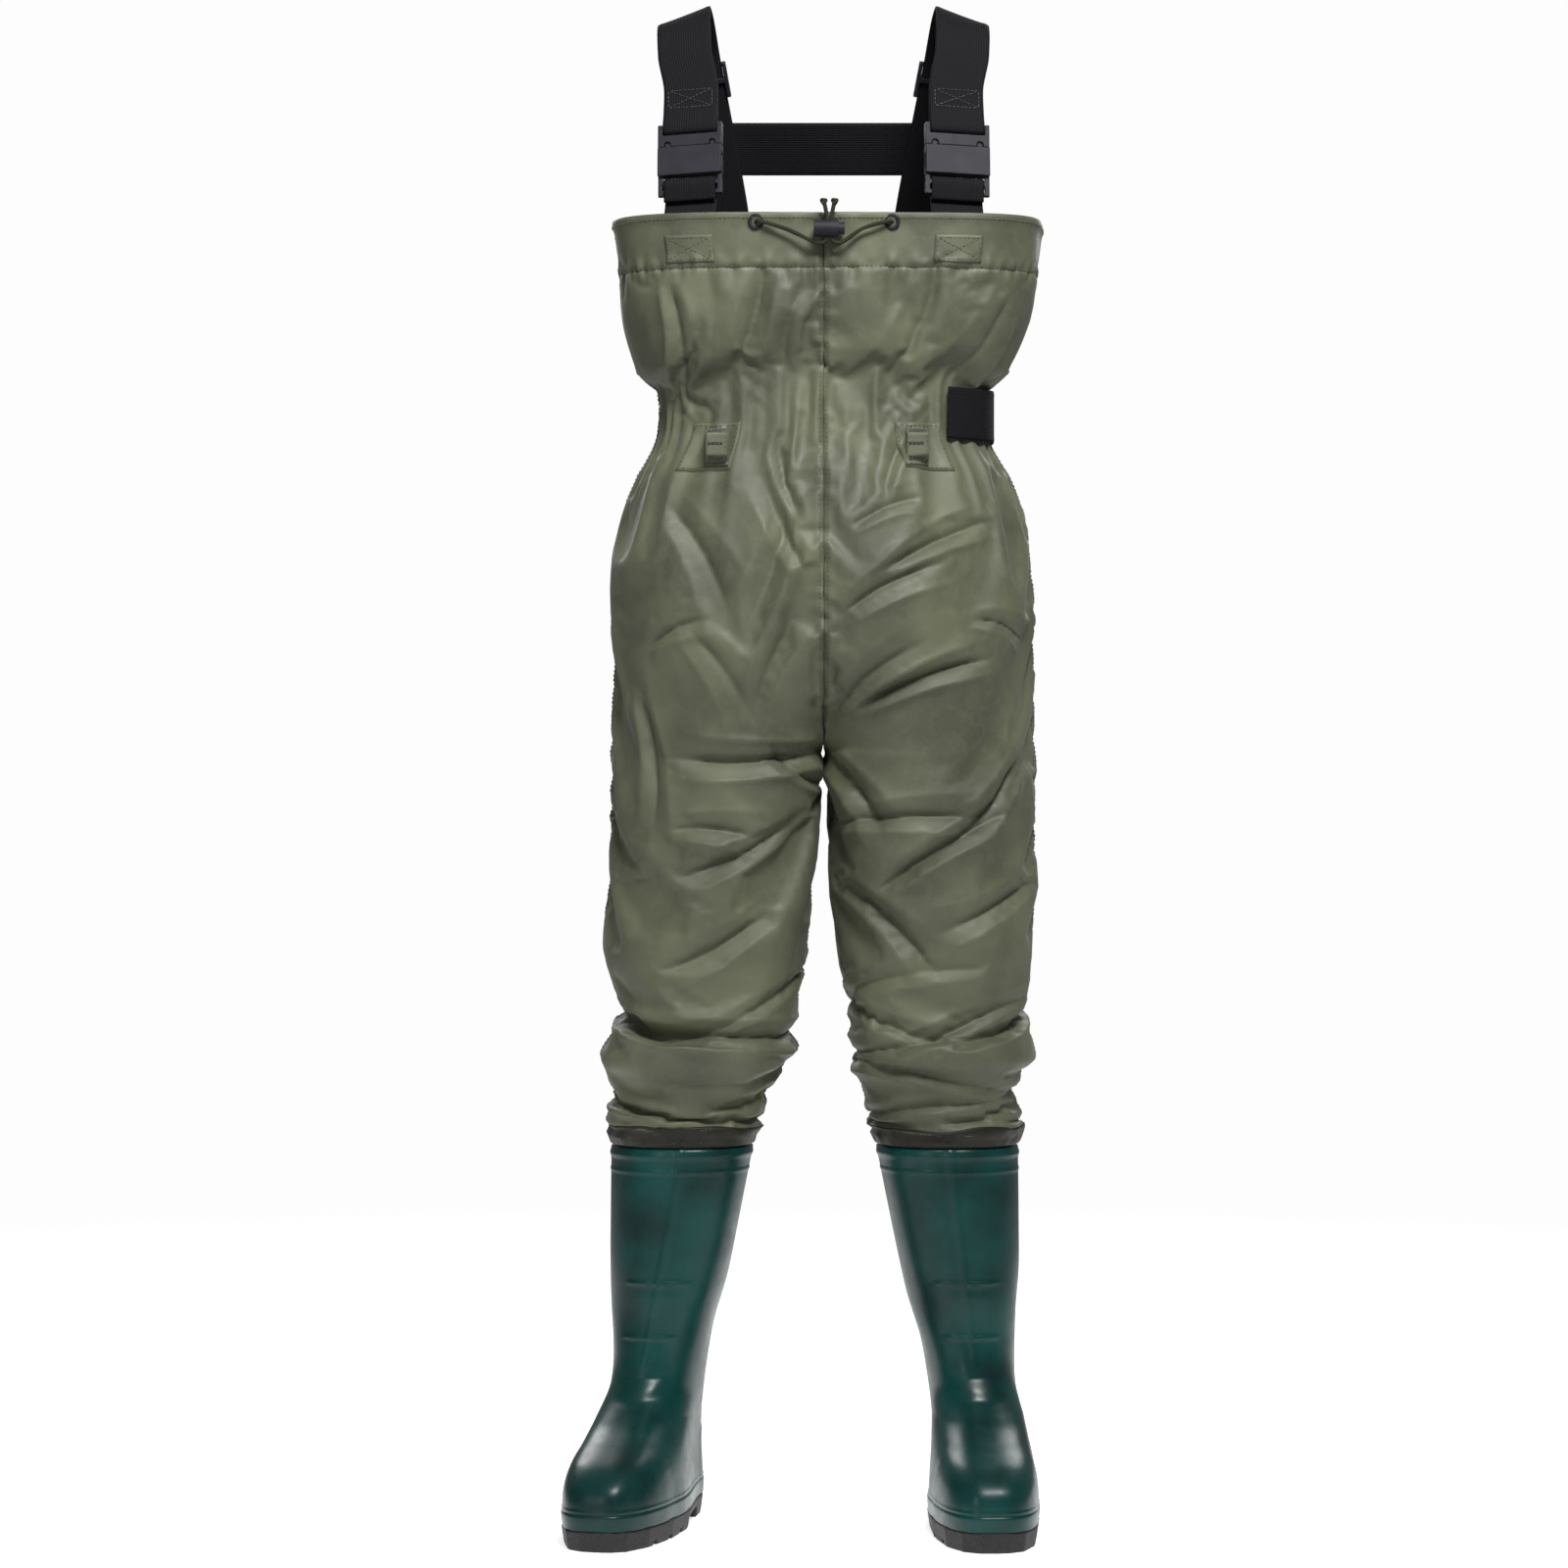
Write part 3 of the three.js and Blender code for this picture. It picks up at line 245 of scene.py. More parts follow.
# Needled felt: a dull cream with a fibrous nap.
FELT = grained("needled_felt", "7c7868", "928d7a", (0.85, 0.95), 900.0, 0.6, 120.0, Sheen_Weight=0.3)
# Injection-moulded acetal: charcoal with a spark-eroded grain, satin on its edges.
ACETAL = grained(
    "moulded_acetal", "131218", "1f1e26", (0.52, 0.66), 1500.0, 0.15, 40.0, IOR=1.48, Specular_IOR_Level=0.22
)
# Drawn spring wire: bright steel with fine lines.
WIRE = grained("drawn_spring_wire", "8d8f92", "a9abae", (0.25, 0.4), 2500.0, 0.1, 90.0, Metallic=1.0)
# Woven polypropylene: black ribs, 1 mm apart on the webbing and drawn 2.4 mm apart so that they show.
WEBBING = woven("woven_polypropylene", "060608", "151519", 2.4, 1.8)
# Woven elastic: olive rubber cords under a cotton weave, with ribs 3 mm apart.
ELASTIC = woven("woven_elastic", "24261c", "3b3d2e", 3.0, 1.5)
# Braided polyester cord: dark, with a diamond braid.
BRAID = woven("braided_polyester", "16160f", "34352a", 1.6, 2.2)
# Polyester thread: a slightly paler olive than the cloth, two plies twisted.
TWIST = (0.5, 0.65), 2000.0, 0.2, 400.0
THREAD = grained("polyester_thread", "3c3e2e", "505240", *TWIST, Sheen_Weight=0.2)
# The same thread in black, for the webbing.
THREAD_BLACK = grained("black_polyester_thread", "1a1a1e", "2c2c33", *TWIST, Sheen_Weight=0.2)

# ---------------------------------------------------------------- mesh helpers


def make_mesh(name, points, faces, material, uvs=None):
    """A smooth-shaded object of one material, its faces pointing out. UVs are one pair for each point."""
    mesh = bpy.data.meshes.new(name)
    mesh.from_pydata([tuple(p) for p in points], [], [tuple(int(i) for i in f) for f in faces])
    if uvs is not None:
        layer = mesh.uv_layers.new(name="UVMap")
        corners = np.empty(len(mesh.loops), dtype=np.int32)
        mesh.loops.foreach_get("vertex_index", corners)
        layer.data.foreach_set("uv", np.asarray(uvs, dtype=np.float32)[corners].ravel())
    mesh.polygons.foreach_set("use_smooth", [True] * len(mesh.polygons))
    mesh.materials.append(material)
    made = bpy.data.objects.new(name, mesh)
    bpy.context.scene.collection.objects.link(made)
    outward = bmesh.new()
    outward.from_mesh(mesh)
    bmesh.ops.recalc_face_normals(outward, faces=outward.faces)
    outward.to_mesh(mesh)
    outward.free()
    return made


def place(obj, body, slot_name, *nodes):
    """Rides a finished piece on its body and hides the nodes it stands for. Its slot name is not used."""
    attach(obj, body)
    if nodes:
        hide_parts(*nodes)
    return obj


def grid_faces(rows, cols, closed=False):
    """Faces between the rows of a grid of points, which is closed on itself if its rows are rings."""
    last = cols if closed else cols - 1
    return [(j * cols + i, j * cols + (i + 1) % cols, (j + 1) * cols + (i + 1) % cols, (j + 1) * cols + i)
            for j in range(rows - 1) for i in range(last)]


def capped_rings(rows, cols):
    """Faces of a stack of closed rings, with both ends closed."""
    ends = [tuple(range(cols)), tuple((rows - 1) * cols + k for k in range(cols))[::-1]]
    return grid_faces(rows, cols, closed=True) + ends


def smoothstep(value, start, end):
    """0 before the start and 1 past the end, with a soft change between."""
    t = np.clip((value - start) / (end - start), 0, 1)
    return t * t * (3 - 2 * t)


def bump_at(value, centre, width):
    """A rounded bump, 1 at its centre."""
    return np.exp(-(((value - centre) / width) ** 2))


def unit(v):
    v = np.asarray(v, dtype=float)
    return v / np.maximum(np.linalg.norm(v, axis=-1, keepdims=True), 1e-12)


def squircle(angle, power):
    """A point of the rounded square of half width 1: 2 is a circle, and a higher power is squarer."""
    c, s = np.cos(angle), np.sin(angle)
    reach = (np.abs(c) ** power + np.abs(s) ** power) ** (-1 / power)
    return c * reach, s * reach


def two_sided(points, thickness, name, material, uvs=None, closed=False):
    """A sheet of that thickness below a grid of outer points, with its edges closed."""
    rows, cols = points.shape[:2]
    along = np.gradient(points, axis=0)
    if closed:
        across = (np.roll(points, -1, axis=1) - np.roll(points, 1, axis=1)) / 2
    else:
        across = np.gradient(points, axis=1)
    normals = unit(np.cross(across, along))
    under = points - normals * thickness
    count = rows * cols
    faces = grid_faces(rows, cols, closed)
    faces += [tuple(i + count for i in f[::-1]) for f in grid_faces(rows, cols, closed)]
    last = cols if closed else cols - 1
    for i in range(last):
        k = (i + 1) % cols
        faces.append((i, i + count, k + count, k))
        top = (rows - 1) * cols
        faces.append((top + k, top + k + count, top + i + count, top + i))
    if not closed:
        for j in range(rows - 1):
            a, b = j * cols, (j + 1) * cols
            faces.append((b, b + count, a + count, a))
            a, b = a + cols - 1, b + cols - 1
            faces.append((a, a + count, b + count, b))
    both = np.concatenate([points.reshape(-1, 3), under.reshape(-1, 3)])
    if uvs is not None:
        uvs = np.concatenate([uvs.reshape(-1, 2), uvs.reshape(-1, 2)])
    return make_mesh(name, both, faces, material, uvs)


# ---------------------------------------------------------------- garment surface


def sections_of(side):
    """Height, inner and outer distance from the centre plane, and half depth, in mm above the cuff."""
    cuff_x, bulge = CUFF_X[side], 12 if side < 0 else 2
    lean = side * 5
    leg, hip, bib = INSEAM, BODY_RISE, BIB_HEIGHT
    waist = leg + hip
    return np.array([
        (0, cuff_x - CUFF_HALF_WIDTH, cuff_x + CUFF_HALF_WIDTH, 73),
        (0.06 * leg, cuff_x - 75, cuff_x + 73, 76),
        (0.14 * leg, cuff_x - 84, cuff_x + 65, 81),
        (0.23 * leg, 30 + bulge / 2, 208 + bulge, 95),
        (0.33 * leg, 29, 200, 90),
        (0.5 * leg, 17, 206 + bulge, 99),
        (0.7 * leg, 10, 211, 104),
        (0.9 * leg, 6, 211, 107),
        (leg, 0, 211, 110),
        (leg + 0.2 * hip, 0, 210, 122),
        (leg + 0.42 * hip, 0, 210, 131),
        (leg + 0.6 * hip, 0, 207, 131),
        (leg + 0.82 * hip, 0, 188, 117),
        (leg + 0.92 * hip, 0, 166, 105),
        (waist, 0, 162, 102),
        (waist + 0.14 * bib, 0, 166, 104),
        (waist + 0.28 * bib, 0, 184, 108),
        (waist + 0.5 * bib, 0, 199 + lean / 2, 116),
        (waist + 0.72 * bib, 0, 207 + lean, 121),
        (waist + bib, 0, 213 + lean, 125),
    ])


def column_at(rows, column, z):
    """One column of a table of sections at a height, read as a smooth curve through the rows."""
    heights, values = rows[:, 0], rows[:, column]
    slopes = np.zeros(len(values))
    slopes[1:-1] = (values[2:] - values[:-2]) / (heights[2:] - heights[:-2])
    slopes[0] = (values[1] - values[0]) / (heights[1] - heights[0])
    slopes[-1] = (values[-1] - values[-2]) / (heights[-1] - heights[-2])
    i = np.clip(np.searchsorted(heights, z, side="right") - 1, 0, len(heights) - 2)
    span = heights[i + 1] - heights[i]
    t = np.clip((z - heights[i]) / span, 0, 1)
    return ((2 * t**3 - 3 * t**2 + 1) * values[i] + (t**3 - 2 * t**2 + t) * span * slopes[i]
            + (3 * t**2 - 2 * t**3) * values[i + 1] + (t**3 - t**2) * span * slopes[i + 1])


def garment_surface(side, u, z):
    """One half of the garment: u runs from the centre front (0) past the side (0.5) to the back (1)."""
    rows = sections_of(side)
    inner, outer, depth = (column_at(rows, c, (z - CUFF_Z) / MM) for c in (1, 2, 3))
    lc, ls = squircle(2 * math.pi * u, 2.2)
    leg_x = (inner + outer) / 2 - lc * (outer - inner) / 2
    leg_y = -ls * depth
    rise = np.clip((z - CROTCH_Z) / (CROTCH_CURVE * MM), 0, 1)
    seam_share = np.sqrt(1 - (1 - rise) ** 2)
    body_share = smoothstep(z, CROTCH_Z - 90 * MM, CROTCH_Z + CROTCH_CURVE * MM)
    near_seam = (0.5 + 0.5 * np.cos(2 * math.pi * u)) ** 4
    full = body_share + (seam_share - body_share) * near_seam
    tc, ts = squircle(math.pi * u, 2.5 + 1.5 * smoothstep(z, WAIST_Z, BIB_Z))
    x = np.maximum(leg_x + (ts * outer - leg_x) * full, 0)
    y = leg_y + (-tc * depth - leg_y) * full
    return np.stack([CENTRE_X + side * x * MM, CENTRE_Y + y * MM, z + 0 * x], axis=-1)


def surface_normal(side, u, z):
    """Outward direction of the garment, from its own slopes."""
    du, dz = 1e-3, 1 * MM
    across = garment_surface(side, np.minimum(u + du, 1), z) - garment_surface(side, np.maximum(u - du, 0), z)
    along = garment_surface(side, u, z + dz) - garment_surface(side, u, z - dz)
    return unit(np.cross(across, along)) * side


# Folds pressed into the cloth: x from the centre plane and height at both ends, depth and width, in mm.
# The wearer's left is +x. Fabric rises beside each fold, most on its lower edge.
FRONT_FOLDS = [
    (-8, 772, -150, 770, 9, 13), (-5, 740, -60, 786, 5, 9), (-70, 812, -30, 900, 4, 12),
    (-40, 700, -140, 655, 6, 11), (-150, 700, -60, 690, 5, 12), (-60, 610, -160, 560, 5, 14),
    (-175, 880, -115, 905, 5, 10), (-185, 830, -172, 700, 5, 9), (-130, 890, -70, 800, 4, 16),
    (-40, 1000, -75, 905, 4, 14), (-150, 1010, -95, 905, 4, 16), (-15, 940, -60, 1040, 4, 12),
    (6, 770, 60, 700, 7, 11), (10, 812, 95, 880, 5, 11), (40, 820, 165, 868, 8, 9),
    (20, 905, 120, 960, 7, 13), (60, 948, 165, 1000, 6, 10), (30, 990, 100, 1020, 4, 9),
    (20, 705, 160, 712, 6, 12), (60, 640, 190, 715, 6, 11), (195, 760, 150, 700, 6, 12),
    (30, 640, 110, 560, 5, 12), (205, 640, 120, 600, 5, 12), (150, 905, 205, 885, 5, 9),
    (-25, 1000, -45, 1080, 4, 8), (60, 1020, 85, 1085, 4, 8), (-60, 1230, -95, 1130, 4, 14),
    (-150, 1225, -135, 1120, 6, 9), (-120, 1195, -150, 1130, 4, 10), (110, 1230, 60, 1130, 4, 16),
    (180, 1215, 120, 1130, 4, 14), (-40, 1150, -20, 1225, 3, 10),
]
BACK_FOLDS = [
    (8, 772, 150, 762, 8, 14), (-8, 772, -150, 758, 8, 14), (-30, 700, -150, 660, 6, 12),
    (35, 705, 150, 655, 6, 12), (-170, 900, -60, 850, 5, 14), (165, 905, 60, 845, 5, 14),
    (-15, 800, -110, 850, 6, 11), (15, 800, 115, 850, 6, 11), (-150, 1010, -90, 930, 5, 14),
    (150, 1010, 95, 930, 5, 14), (-60, 620, -180, 575, 5, 12), (60, 625, 180, 570, 5, 12),
    (-50, 1230, -80, 1130, 4, 14), (60, 1230, 90, 1130, 4, 14), (-150, 1220, -130, 1130, 5, 10),
    (150, 1220, 135, 1130, 5, 10),
]
# Folds round the shins, where the leg's spare length settles on the boot: height, tilt, depth, width.
SHIN_FOLDS = {
    -1: [(508, 20, 12, 11), (487, -26, 7, 9), (538, -34, 6, 10), (462, 16, 6, 8), (431, -12, 9, 8),
         (418, 14, 6, 6), (407, -9, 6, 5), (397, 7, 5, 5), (388, -6, 4, 4)],
    1: [(520, -24, 8, 11), (546, 22, 6, 10), (492, 30, 8, 10), (466, -18, 7, 9), (441, 20, 7, 8),
        (424, -14, 5, 6), (410, 9, 5, 5), (399, -7, 5, 5), (389, 6, 4, 4)],
}


def fold_profile(distance, width):
    """A sharp valley with a raised lip on each side, from -1 to about 0.6."""
    d = distance / width
    return (-1.1 * np.exp(-np.abs(d) * 2.3) + 0.66 * np.exp(-np.abs(d + 1.25) * 1.7)
            + 0.42 * np.exp(-np.abs(d - 1.5) * 1.5))


def fold_depth(side, u, z, points):
    """How far the cloth stands out of its smooth surface, in metres, from the pressed folds."""
    x = (points[..., 0] - CENTRE_X) / MM
    height = z / MM
    front = smoothstep(0.62 - u, 0.0, 0.2)
    total = np.zeros_like(x)
    for folds, share in ((FRONT_FOLDS, front), (BACK_FOLDS, 1 - smoothstep(0.62 - u, -0.2, 0.05))):
        for x0, z0, x1, z1, depth, width in folds:
            length = math.hypot(x1 - x0, z1 - z0)
            tx, tz = (x1 - x0) / length, (z1 - z0) / length
            along = ((x - x0) * tx + (height - z0) * tz) / length
            bow = 5 * np.sin(math.pi * np.clip(along, 0, 1))
            away = -(x - x0) * tz + (height - z0) * tx - bow
            if tx < 0:
                away = -away
            taper = smoothstep(along, -0.12, 0.2) * (1 - smoothstep(along, 0.65, 1.15))
            wide = width * (0.75 + 0.6 * np.clip(along, 0, 1))
            total += 1.35 * share * depth * taper * fold_profile(away, wide)
    around = 2 * math.pi * u
    for z0, tilt, depth, width in SHIN_FOLDS[side]:
        line = z0 + tilt * np.sin(around + z0 * 0.7) + 0.3 * tilt * np.sin(2 * around + z0)
        strength = 0.55 + 0.45 * np.sin(around + z0 * 0.37 + 1.0)
        total += depth * strength * fold_profile(height - line, width)
    total *= smoothstep(height, CUFF_Z / MM + 1, CUFF_Z / MM + 14)
    return total * MM


def waist_pleats(side, u, z):
    """Pleats that the elastic gathers at the waist, dying out above and below it."""
    height = (z - WAIST_Z) / MM
    phase = 2 * math.pi * u
    uneven = 0.7 * np.sin(3 * phase + side) + 0.5 * np.sin(7 * phase + 2 * side + height * 0.012)
    pleat = np.cos(19 * phase + 2.2 * uneven)
    pleat = 1 - 2 * np.abs(np.sin(np.arccos(np.clip(pleat, -1, 1)) / 2)) ** 1.4
    reach = 34 + 22 * np.sin(9 * phase + 1.3 * side) + 16 * np.sin(5 * phase)
    near = np.exp(-((height + 12) / 16) ** 2) + 0.85 * np.exp(-np.abs(height + 12) / np.maximum(reach, 14))
    # The front is pulled flat between its loops, so the elastic gathers the sides and back more.
    gathered = 0.5 + 0.5 * smoothstep(u, 0.3, 0.46)
    return 2.4 * gathered * pleat * np.minimum(near, 1.0) * MM


def seam_groove(u, z):
    """The cloth dips along the side seams and the centre seams, and stands up beside them."""
    from_seams = (np.abs(u - 0.5) * CLOTH_GIRTH, np.minimum(u, 1 - u) * CLOTH_GIRTH)
    return sum(0.7 * bump_at(away, 7, 3.5) - 1.5 * bump_at(away, 0, 2.2) for away in from_seams) * MM


def hem_relief(side, u, z):
    """The folded hem: a rolled top edge, a stitch line and small puckers below it."""
    below = (BIB_Z - z) / MM
    phase = 2 * math.pi * u
    roll = 1.6 * bump_at(below, 4, 5) - 1.2 * bump_at(below, HEM_DEPTH, 1.8) + 0.9 * bump_at(below, 47, 4)
    pucker = np.sin(58 * phase + 2 * np.sin(5 * phase + side)) * bump_at(below, HEM_DEPTH, 9) * 0.8
    wave = 1.6 * np.sin(4 * phase + 1.5 * side) * smoothstep(below, 60, 8)
    gather = 1.2 * np.cos(21 * phase + 1.5 * np.sin(3 * phase)) * bump_at(below, 12, 10) * bump_at(u, 0.05, 0.14)
    return (roll + pucker + wave + gather) * MM


# ---------------------------------------------------------------- cloth simulation of the garment

SIM_COLS, SIM_ROWS, SIM_FRAMES = 72, 150, 25
SIM_CAP = 11 * MM  # the most that the simulation may move the cloth
SPARE_CLOTH = 0.04  # the share by which the cloth is longer and wider than its shape


def simulated_shift():
    """How the cloth moves when its spare length and width settle, as a grid of shifts for each side.

    Both halves are one cloth: joined at the centre seams above the crotch, and each leg closed below.
    The cloth is held at the cuffs, the waist and the hem, and eased along its seams.
    """
    us = np.linspace(0, 1, SIM_COLS + 1)
    zs = np.linspace(CUFF_Z, BIB_Z, SIM_ROWS)
    crotch_row = int(np.argmin(np.abs(zs - CROTCH_Z)))
    zs[crotch_row] = CROTCH_Z
    ids, index, points, faces, hold = {}, {}, [], [], []
    uu, zz = np.meshgrid(us, zs)
    for _, side in SIDES:
        grid = garment_surface(side, uu, zz)
        lift = fold_depth(side, uu, zz, grid) + 0.7 * waist_pleats(side, uu, zz)
        start = grid + surface_normal(side, uu, zz) * (lift * smoothstep(BIB_Z - zz, 0, 0.06))[..., None]
        table = np.zeros((SIM_ROWS, SIM_COLS + 1), dtype=int)
        for j in range(SIM_ROWS):
            for i in range(SIM_COLS + 1):
                edge = i in (0, SIM_COLS)
                key = (side, j, i)
                if edge and j == crotch_row:
                    key = "crotch"
                elif edge and j > crotch_row:
                    key = ("centre", j, i)
                elif edge:
                    key = (side, j, 0)
                if key not in ids:
                    ids[key] = len(points)
                    points.append(start[j, i])
                    below = (BIB_Z - zs[j]) / MM
                    at_waist = bump_at((zs[j] - WAIST_Z) / MM, -12, 14)
                    seam = bump_at(min(abs(us[i] - 0.5), us[i], 1 - us[i]) * CLOTH_GIRTH, 0, 9)
                    grip = max(smoothstep(below, 62, 40), at_waist, 0.45 * seam,
                               1 - smoothstep((zs[j] - CUFF_Z) / MM, 2, 16))
                    hold.append(float(grip))
                table[j, i] = ids[key]
        index[side] = table
        for j in range(SIM_ROWS - 1):
            for i in range(SIM_COLS):
                quad = (table[j, i], table[j, i + 1], table[j + 1, i + 1], table[j + 1, i])
                faces.append(quad if side > 0 else quad[::-1])
    cloth = make_mesh("garment_cloth", points, faces, NYLON)
    group = cloth.vertex_groups.new(name="held")
    for i, grip in enumerate(hold):
        if grip > 0.01:
            group.add([i], min(grip, 1.0), "REPLACE")
    modifier = cloth.modifiers.new("Cloth", "CLOTH")
    settings = modifier.settings
    for setting, value in {
        "quality": 6, "mass": 0.25, "tension_stiffness": 25, "compression_stiffness": 25, "shear_stiffness": 12,
        "bending_stiffness": 3, "air_damping": 4, "shrink_min": -SPARE_CLOTH, "vertex_group_mass": "held",
        "use_pressure": True, "uniform_pressure_force": 0.25,
    }.items():
        setattr(settings, setting, value)
    settings.effector_weights.gravity = 0.25
    modifier.collision_settings.use_collision = False
    scene = bpy.context.scene
    for step in range(1, SIM_FRAMES + 1):
        scene.frame_set(step)
    graph = bpy.context.evaluated_depsgraph_get()
    settled = cloth.evaluated_get(graph).data
    after = np.empty(len(points) * 3)
    settled.vertices.foreach_get("co", after)
    after = after.reshape(-1, 3)
    scene.frame_set(1)
    bpy.data.objects.remove(cloth)
    shift = after - np.array(points)
    return us, zs, {side: shift[index[side]] for _, side in SIDES}


def cubic_blend(values, places, at):
    """Values on an even grid, read smoothly between its places, along the first axis."""
    step = (places[-1] - places[0]) / (len(places) - 1)
    t = np.clip((at - places[0]) / step, 0, len(places) - 1 - 1e-9)
    i = t.astype(int)
    f = (t - i)[:, None, None]
    a, b, c, d = (values[np.clip(i + k, 0, len(places) - 1)] for k in (-1, 0, 1, 2))
    return b + 0.5 * f * (c - a + f * (2 * a - 5 * b + 4 * c - d + f * (3 * (b - c) + d - a)))


SIM_U, SIM_Z, SHIFTS = simulated_shift()


def cloth_grid(side, us, zs, offset=0.0):
    """Points of the finished cloth for every height and column, offset outwards, and its normals."""
    u, z = np.meshgrid(us, zs)
    base = garment_surface(side, u, z)
    normal = surface_normal(side, u, z)
    lift = fold_depth(side, u, z, base) + 0.7 * waist_pleats(side, u, z)
    lift = lift * smoothstep(BIB_Z - z, 0, 0.06)
    lift = lift + 0.3 * waist_pleats(side, u, z) + seam_groove(u, z) + hem_relief(side, u, z)
    points = base + normal * (lift + offset)[..., None]
    if SHIFTS is not None:
        shift = SHIFTS[side]
        reach = np.linalg.norm(shift, axis=-1, keepdims=True)
        shift = shift * SIM_CAP * np.tanh(reach / SIM_CAP) / np.maximum(reach, 1e-9)
        rows = cubic_blend(shift, SIM_Z, np.asarray(zs))
        points = points + cubic_blend(rows.swapaxes(0, 1), SIM_U, np.asarray(us)).swapaxes(0, 1)
    points[..., 0] = CENTRE_X + side * np.maximum(side * (points[..., 0] - CENTRE_X), 0)
    return points, normal


def dense_columns(start, end, count):
    """Columns of the cloth, closer together beside the seams."""
    us = set(np.round(np.linspace(start, end, count), 5))
    for seam in (0.0, 0.5, 1.0):
        for away in (0.0015, 0.003, 0.0055, 0.0085, 0.012):
            for u in (seam - away, seam + away):
                if start < u < end:
                    us.add(round(u, 5))
    return np.array(sorted(us))


HEM_ROWS = BIB_Z - np.array([0, 1.5, 3.5, 6, 9, 13, 18, 24, 30, 36, 42, 46, 49, 51, 52, 53, 54, 55, 57, 60]) * MM
BODY_ROWS = np.linspace(CUFF_Z, BIB_Z - 64 * MM, 370)
ROWS = np.concatenate([BODY_ROWS, HEM_ROWS[::-1]])


def oriented(side, grid):
    """Columns in the order that makes the sheet face outwards."""
    return grid if side > 0 else grid[:, ::-1]


for name, side in SIDES:
    for panel, start, end in (("front_panel", 0.0, 0.5), ("back_panel", 0.5, 1.0)):
        points, _ = cloth_grid(side, dense_columns(start, end, 112), ROWS)
        sheet = two_sided(oriented(side, points), 1.1 * MM, f"{panel}_{name}_cloth", NYLON)
        place(sheet, "waders", "coated_nylon", f"{panel}_{name}")

# ---------------------------------------------------------------- seams, tapes and stitching


def cloth_line(side, us, zs, offset=0.3):
    """A line on the cloth through matching columns and heights."""
    points, normals = [], []
    for u, z in zip(us, zs):
        p, n = cloth_grid(side, np.array([u]), np.array([z]), offset * MM)
        points.append(p[0, 0])
        normals.append(n[0, 0])
    return np.array(points), np.array(normals)


STITCH_SIDES = 5
# Along a stitch: its share of the length, its rise above the cloth and its thickness. It dips in at both ends.
STITCH_RINGS = ((0, -0.25, 0.55), (0.28, 0.3, 1), (0.72, 0.3, 1), (1, -0.25, 0.55))


def stitches_on(name, lines, material=THREAD, slot_name="coated_nylon", body="waders",
                length=3.2, gap=1.3, radius=0.42):
    """Stitches along one or more lines, as one piece. A line is its points and the cloth's outward directions."""
    points, faces = [], []
    for path, normals in lines:
        run = np.concatenate([[0], np.cumsum(np.linalg.norm(np.diff(path, axis=0), axis=1))])

        def read(values, at):
            return np.array([np.interp(at, run, values[:, k]) for k in range(3)])

        for start in np.arange(gap * MM, run[-1] - length * MM, (length + gap) * MM):
            base = len(points)
            for share, rise, thin in STITCH_RINGS:
                at = start + share * length * MM
                normal = unit(read(normals, at))
                aside = unit(np.cross(normal, read(path, at + 0.5 * MM) - read(path, at - 0.5 * MM)))
                centre = read(path, at) + normal * rise * radius * MM
                turns = [2 * math.pi * k / STITCH_SIDES for k in range(STITCH_SIDES)]
                points += [centre + (aside * math.cos(a) + normal * math.sin(a)) * radius * thin * MM for a in turns]
            faces += [tuple(base + i for i in face) for face in capped_rings(len(STITCH_RINGS), STITCH_SIDES)]
    return place(make_mesh(name, points, faces, material), body, slot_name)


CHEST_ROWS = np.arange(CROTCH_Z + 6 * MM, BIB_Z - 54 * MM, 5 * MM)
SIDE_ROWS = np.arange(CUFF_Z + 6 * MM, BIB_Z - 54 * MM, 5 * MM)
LEG_ROWS = np.arange(CUFF_Z + 6 * MM, CROTCH_Z - 6 * MM, 5 * MM)
for name, side in SIDES:
    lines = [cloth_line(side, np.full(len(SIDE_ROWS), 0.5 + d), SIDE_ROWS) for d in (-0.006, 0.006)]
    stitches_on(f"side_seam_stitches_{name}", lines)
    lines = [cloth_line(side, np.full(len(LEG_ROWS), d), LEG_ROWS) for d in (0.006, 0.994)]
    stitches_on(f"inseam_stitches_{name}", lines)
for panel, near in (("front", 0.006), ("back", 0.994)):
    lines = [cloth_line(side, np.full(len(CHEST_ROWS), near), CHEST_ROWS) for _, side in SIDES]
    stitches_on(f"centre_{panel}_seam_stitches", lines)
HEM_COLUMNS = np.linspace(0, 1, 140)
lines = [cloth_line(side, HEM_COLUMNS, np.full(len(HEM_COLUMNS), BIB_Z - drop * MM))
         for _, side in SIDES for drop in (51.5, 5.5)]
stitches_on("hem_stitches", lines)
CUFF_COLUMNS = np.linspace(0, 1, 90)
for name, side in SIDES:
    lines = [cloth_line(side, CUFF_COLUMNS, np.full(len(CUFF_COLUMNS), CUFF_Z + up * MM)) for up in (4.5, 17.5)]
    stitches_on(f"cuff_stitches_{name}", lines)


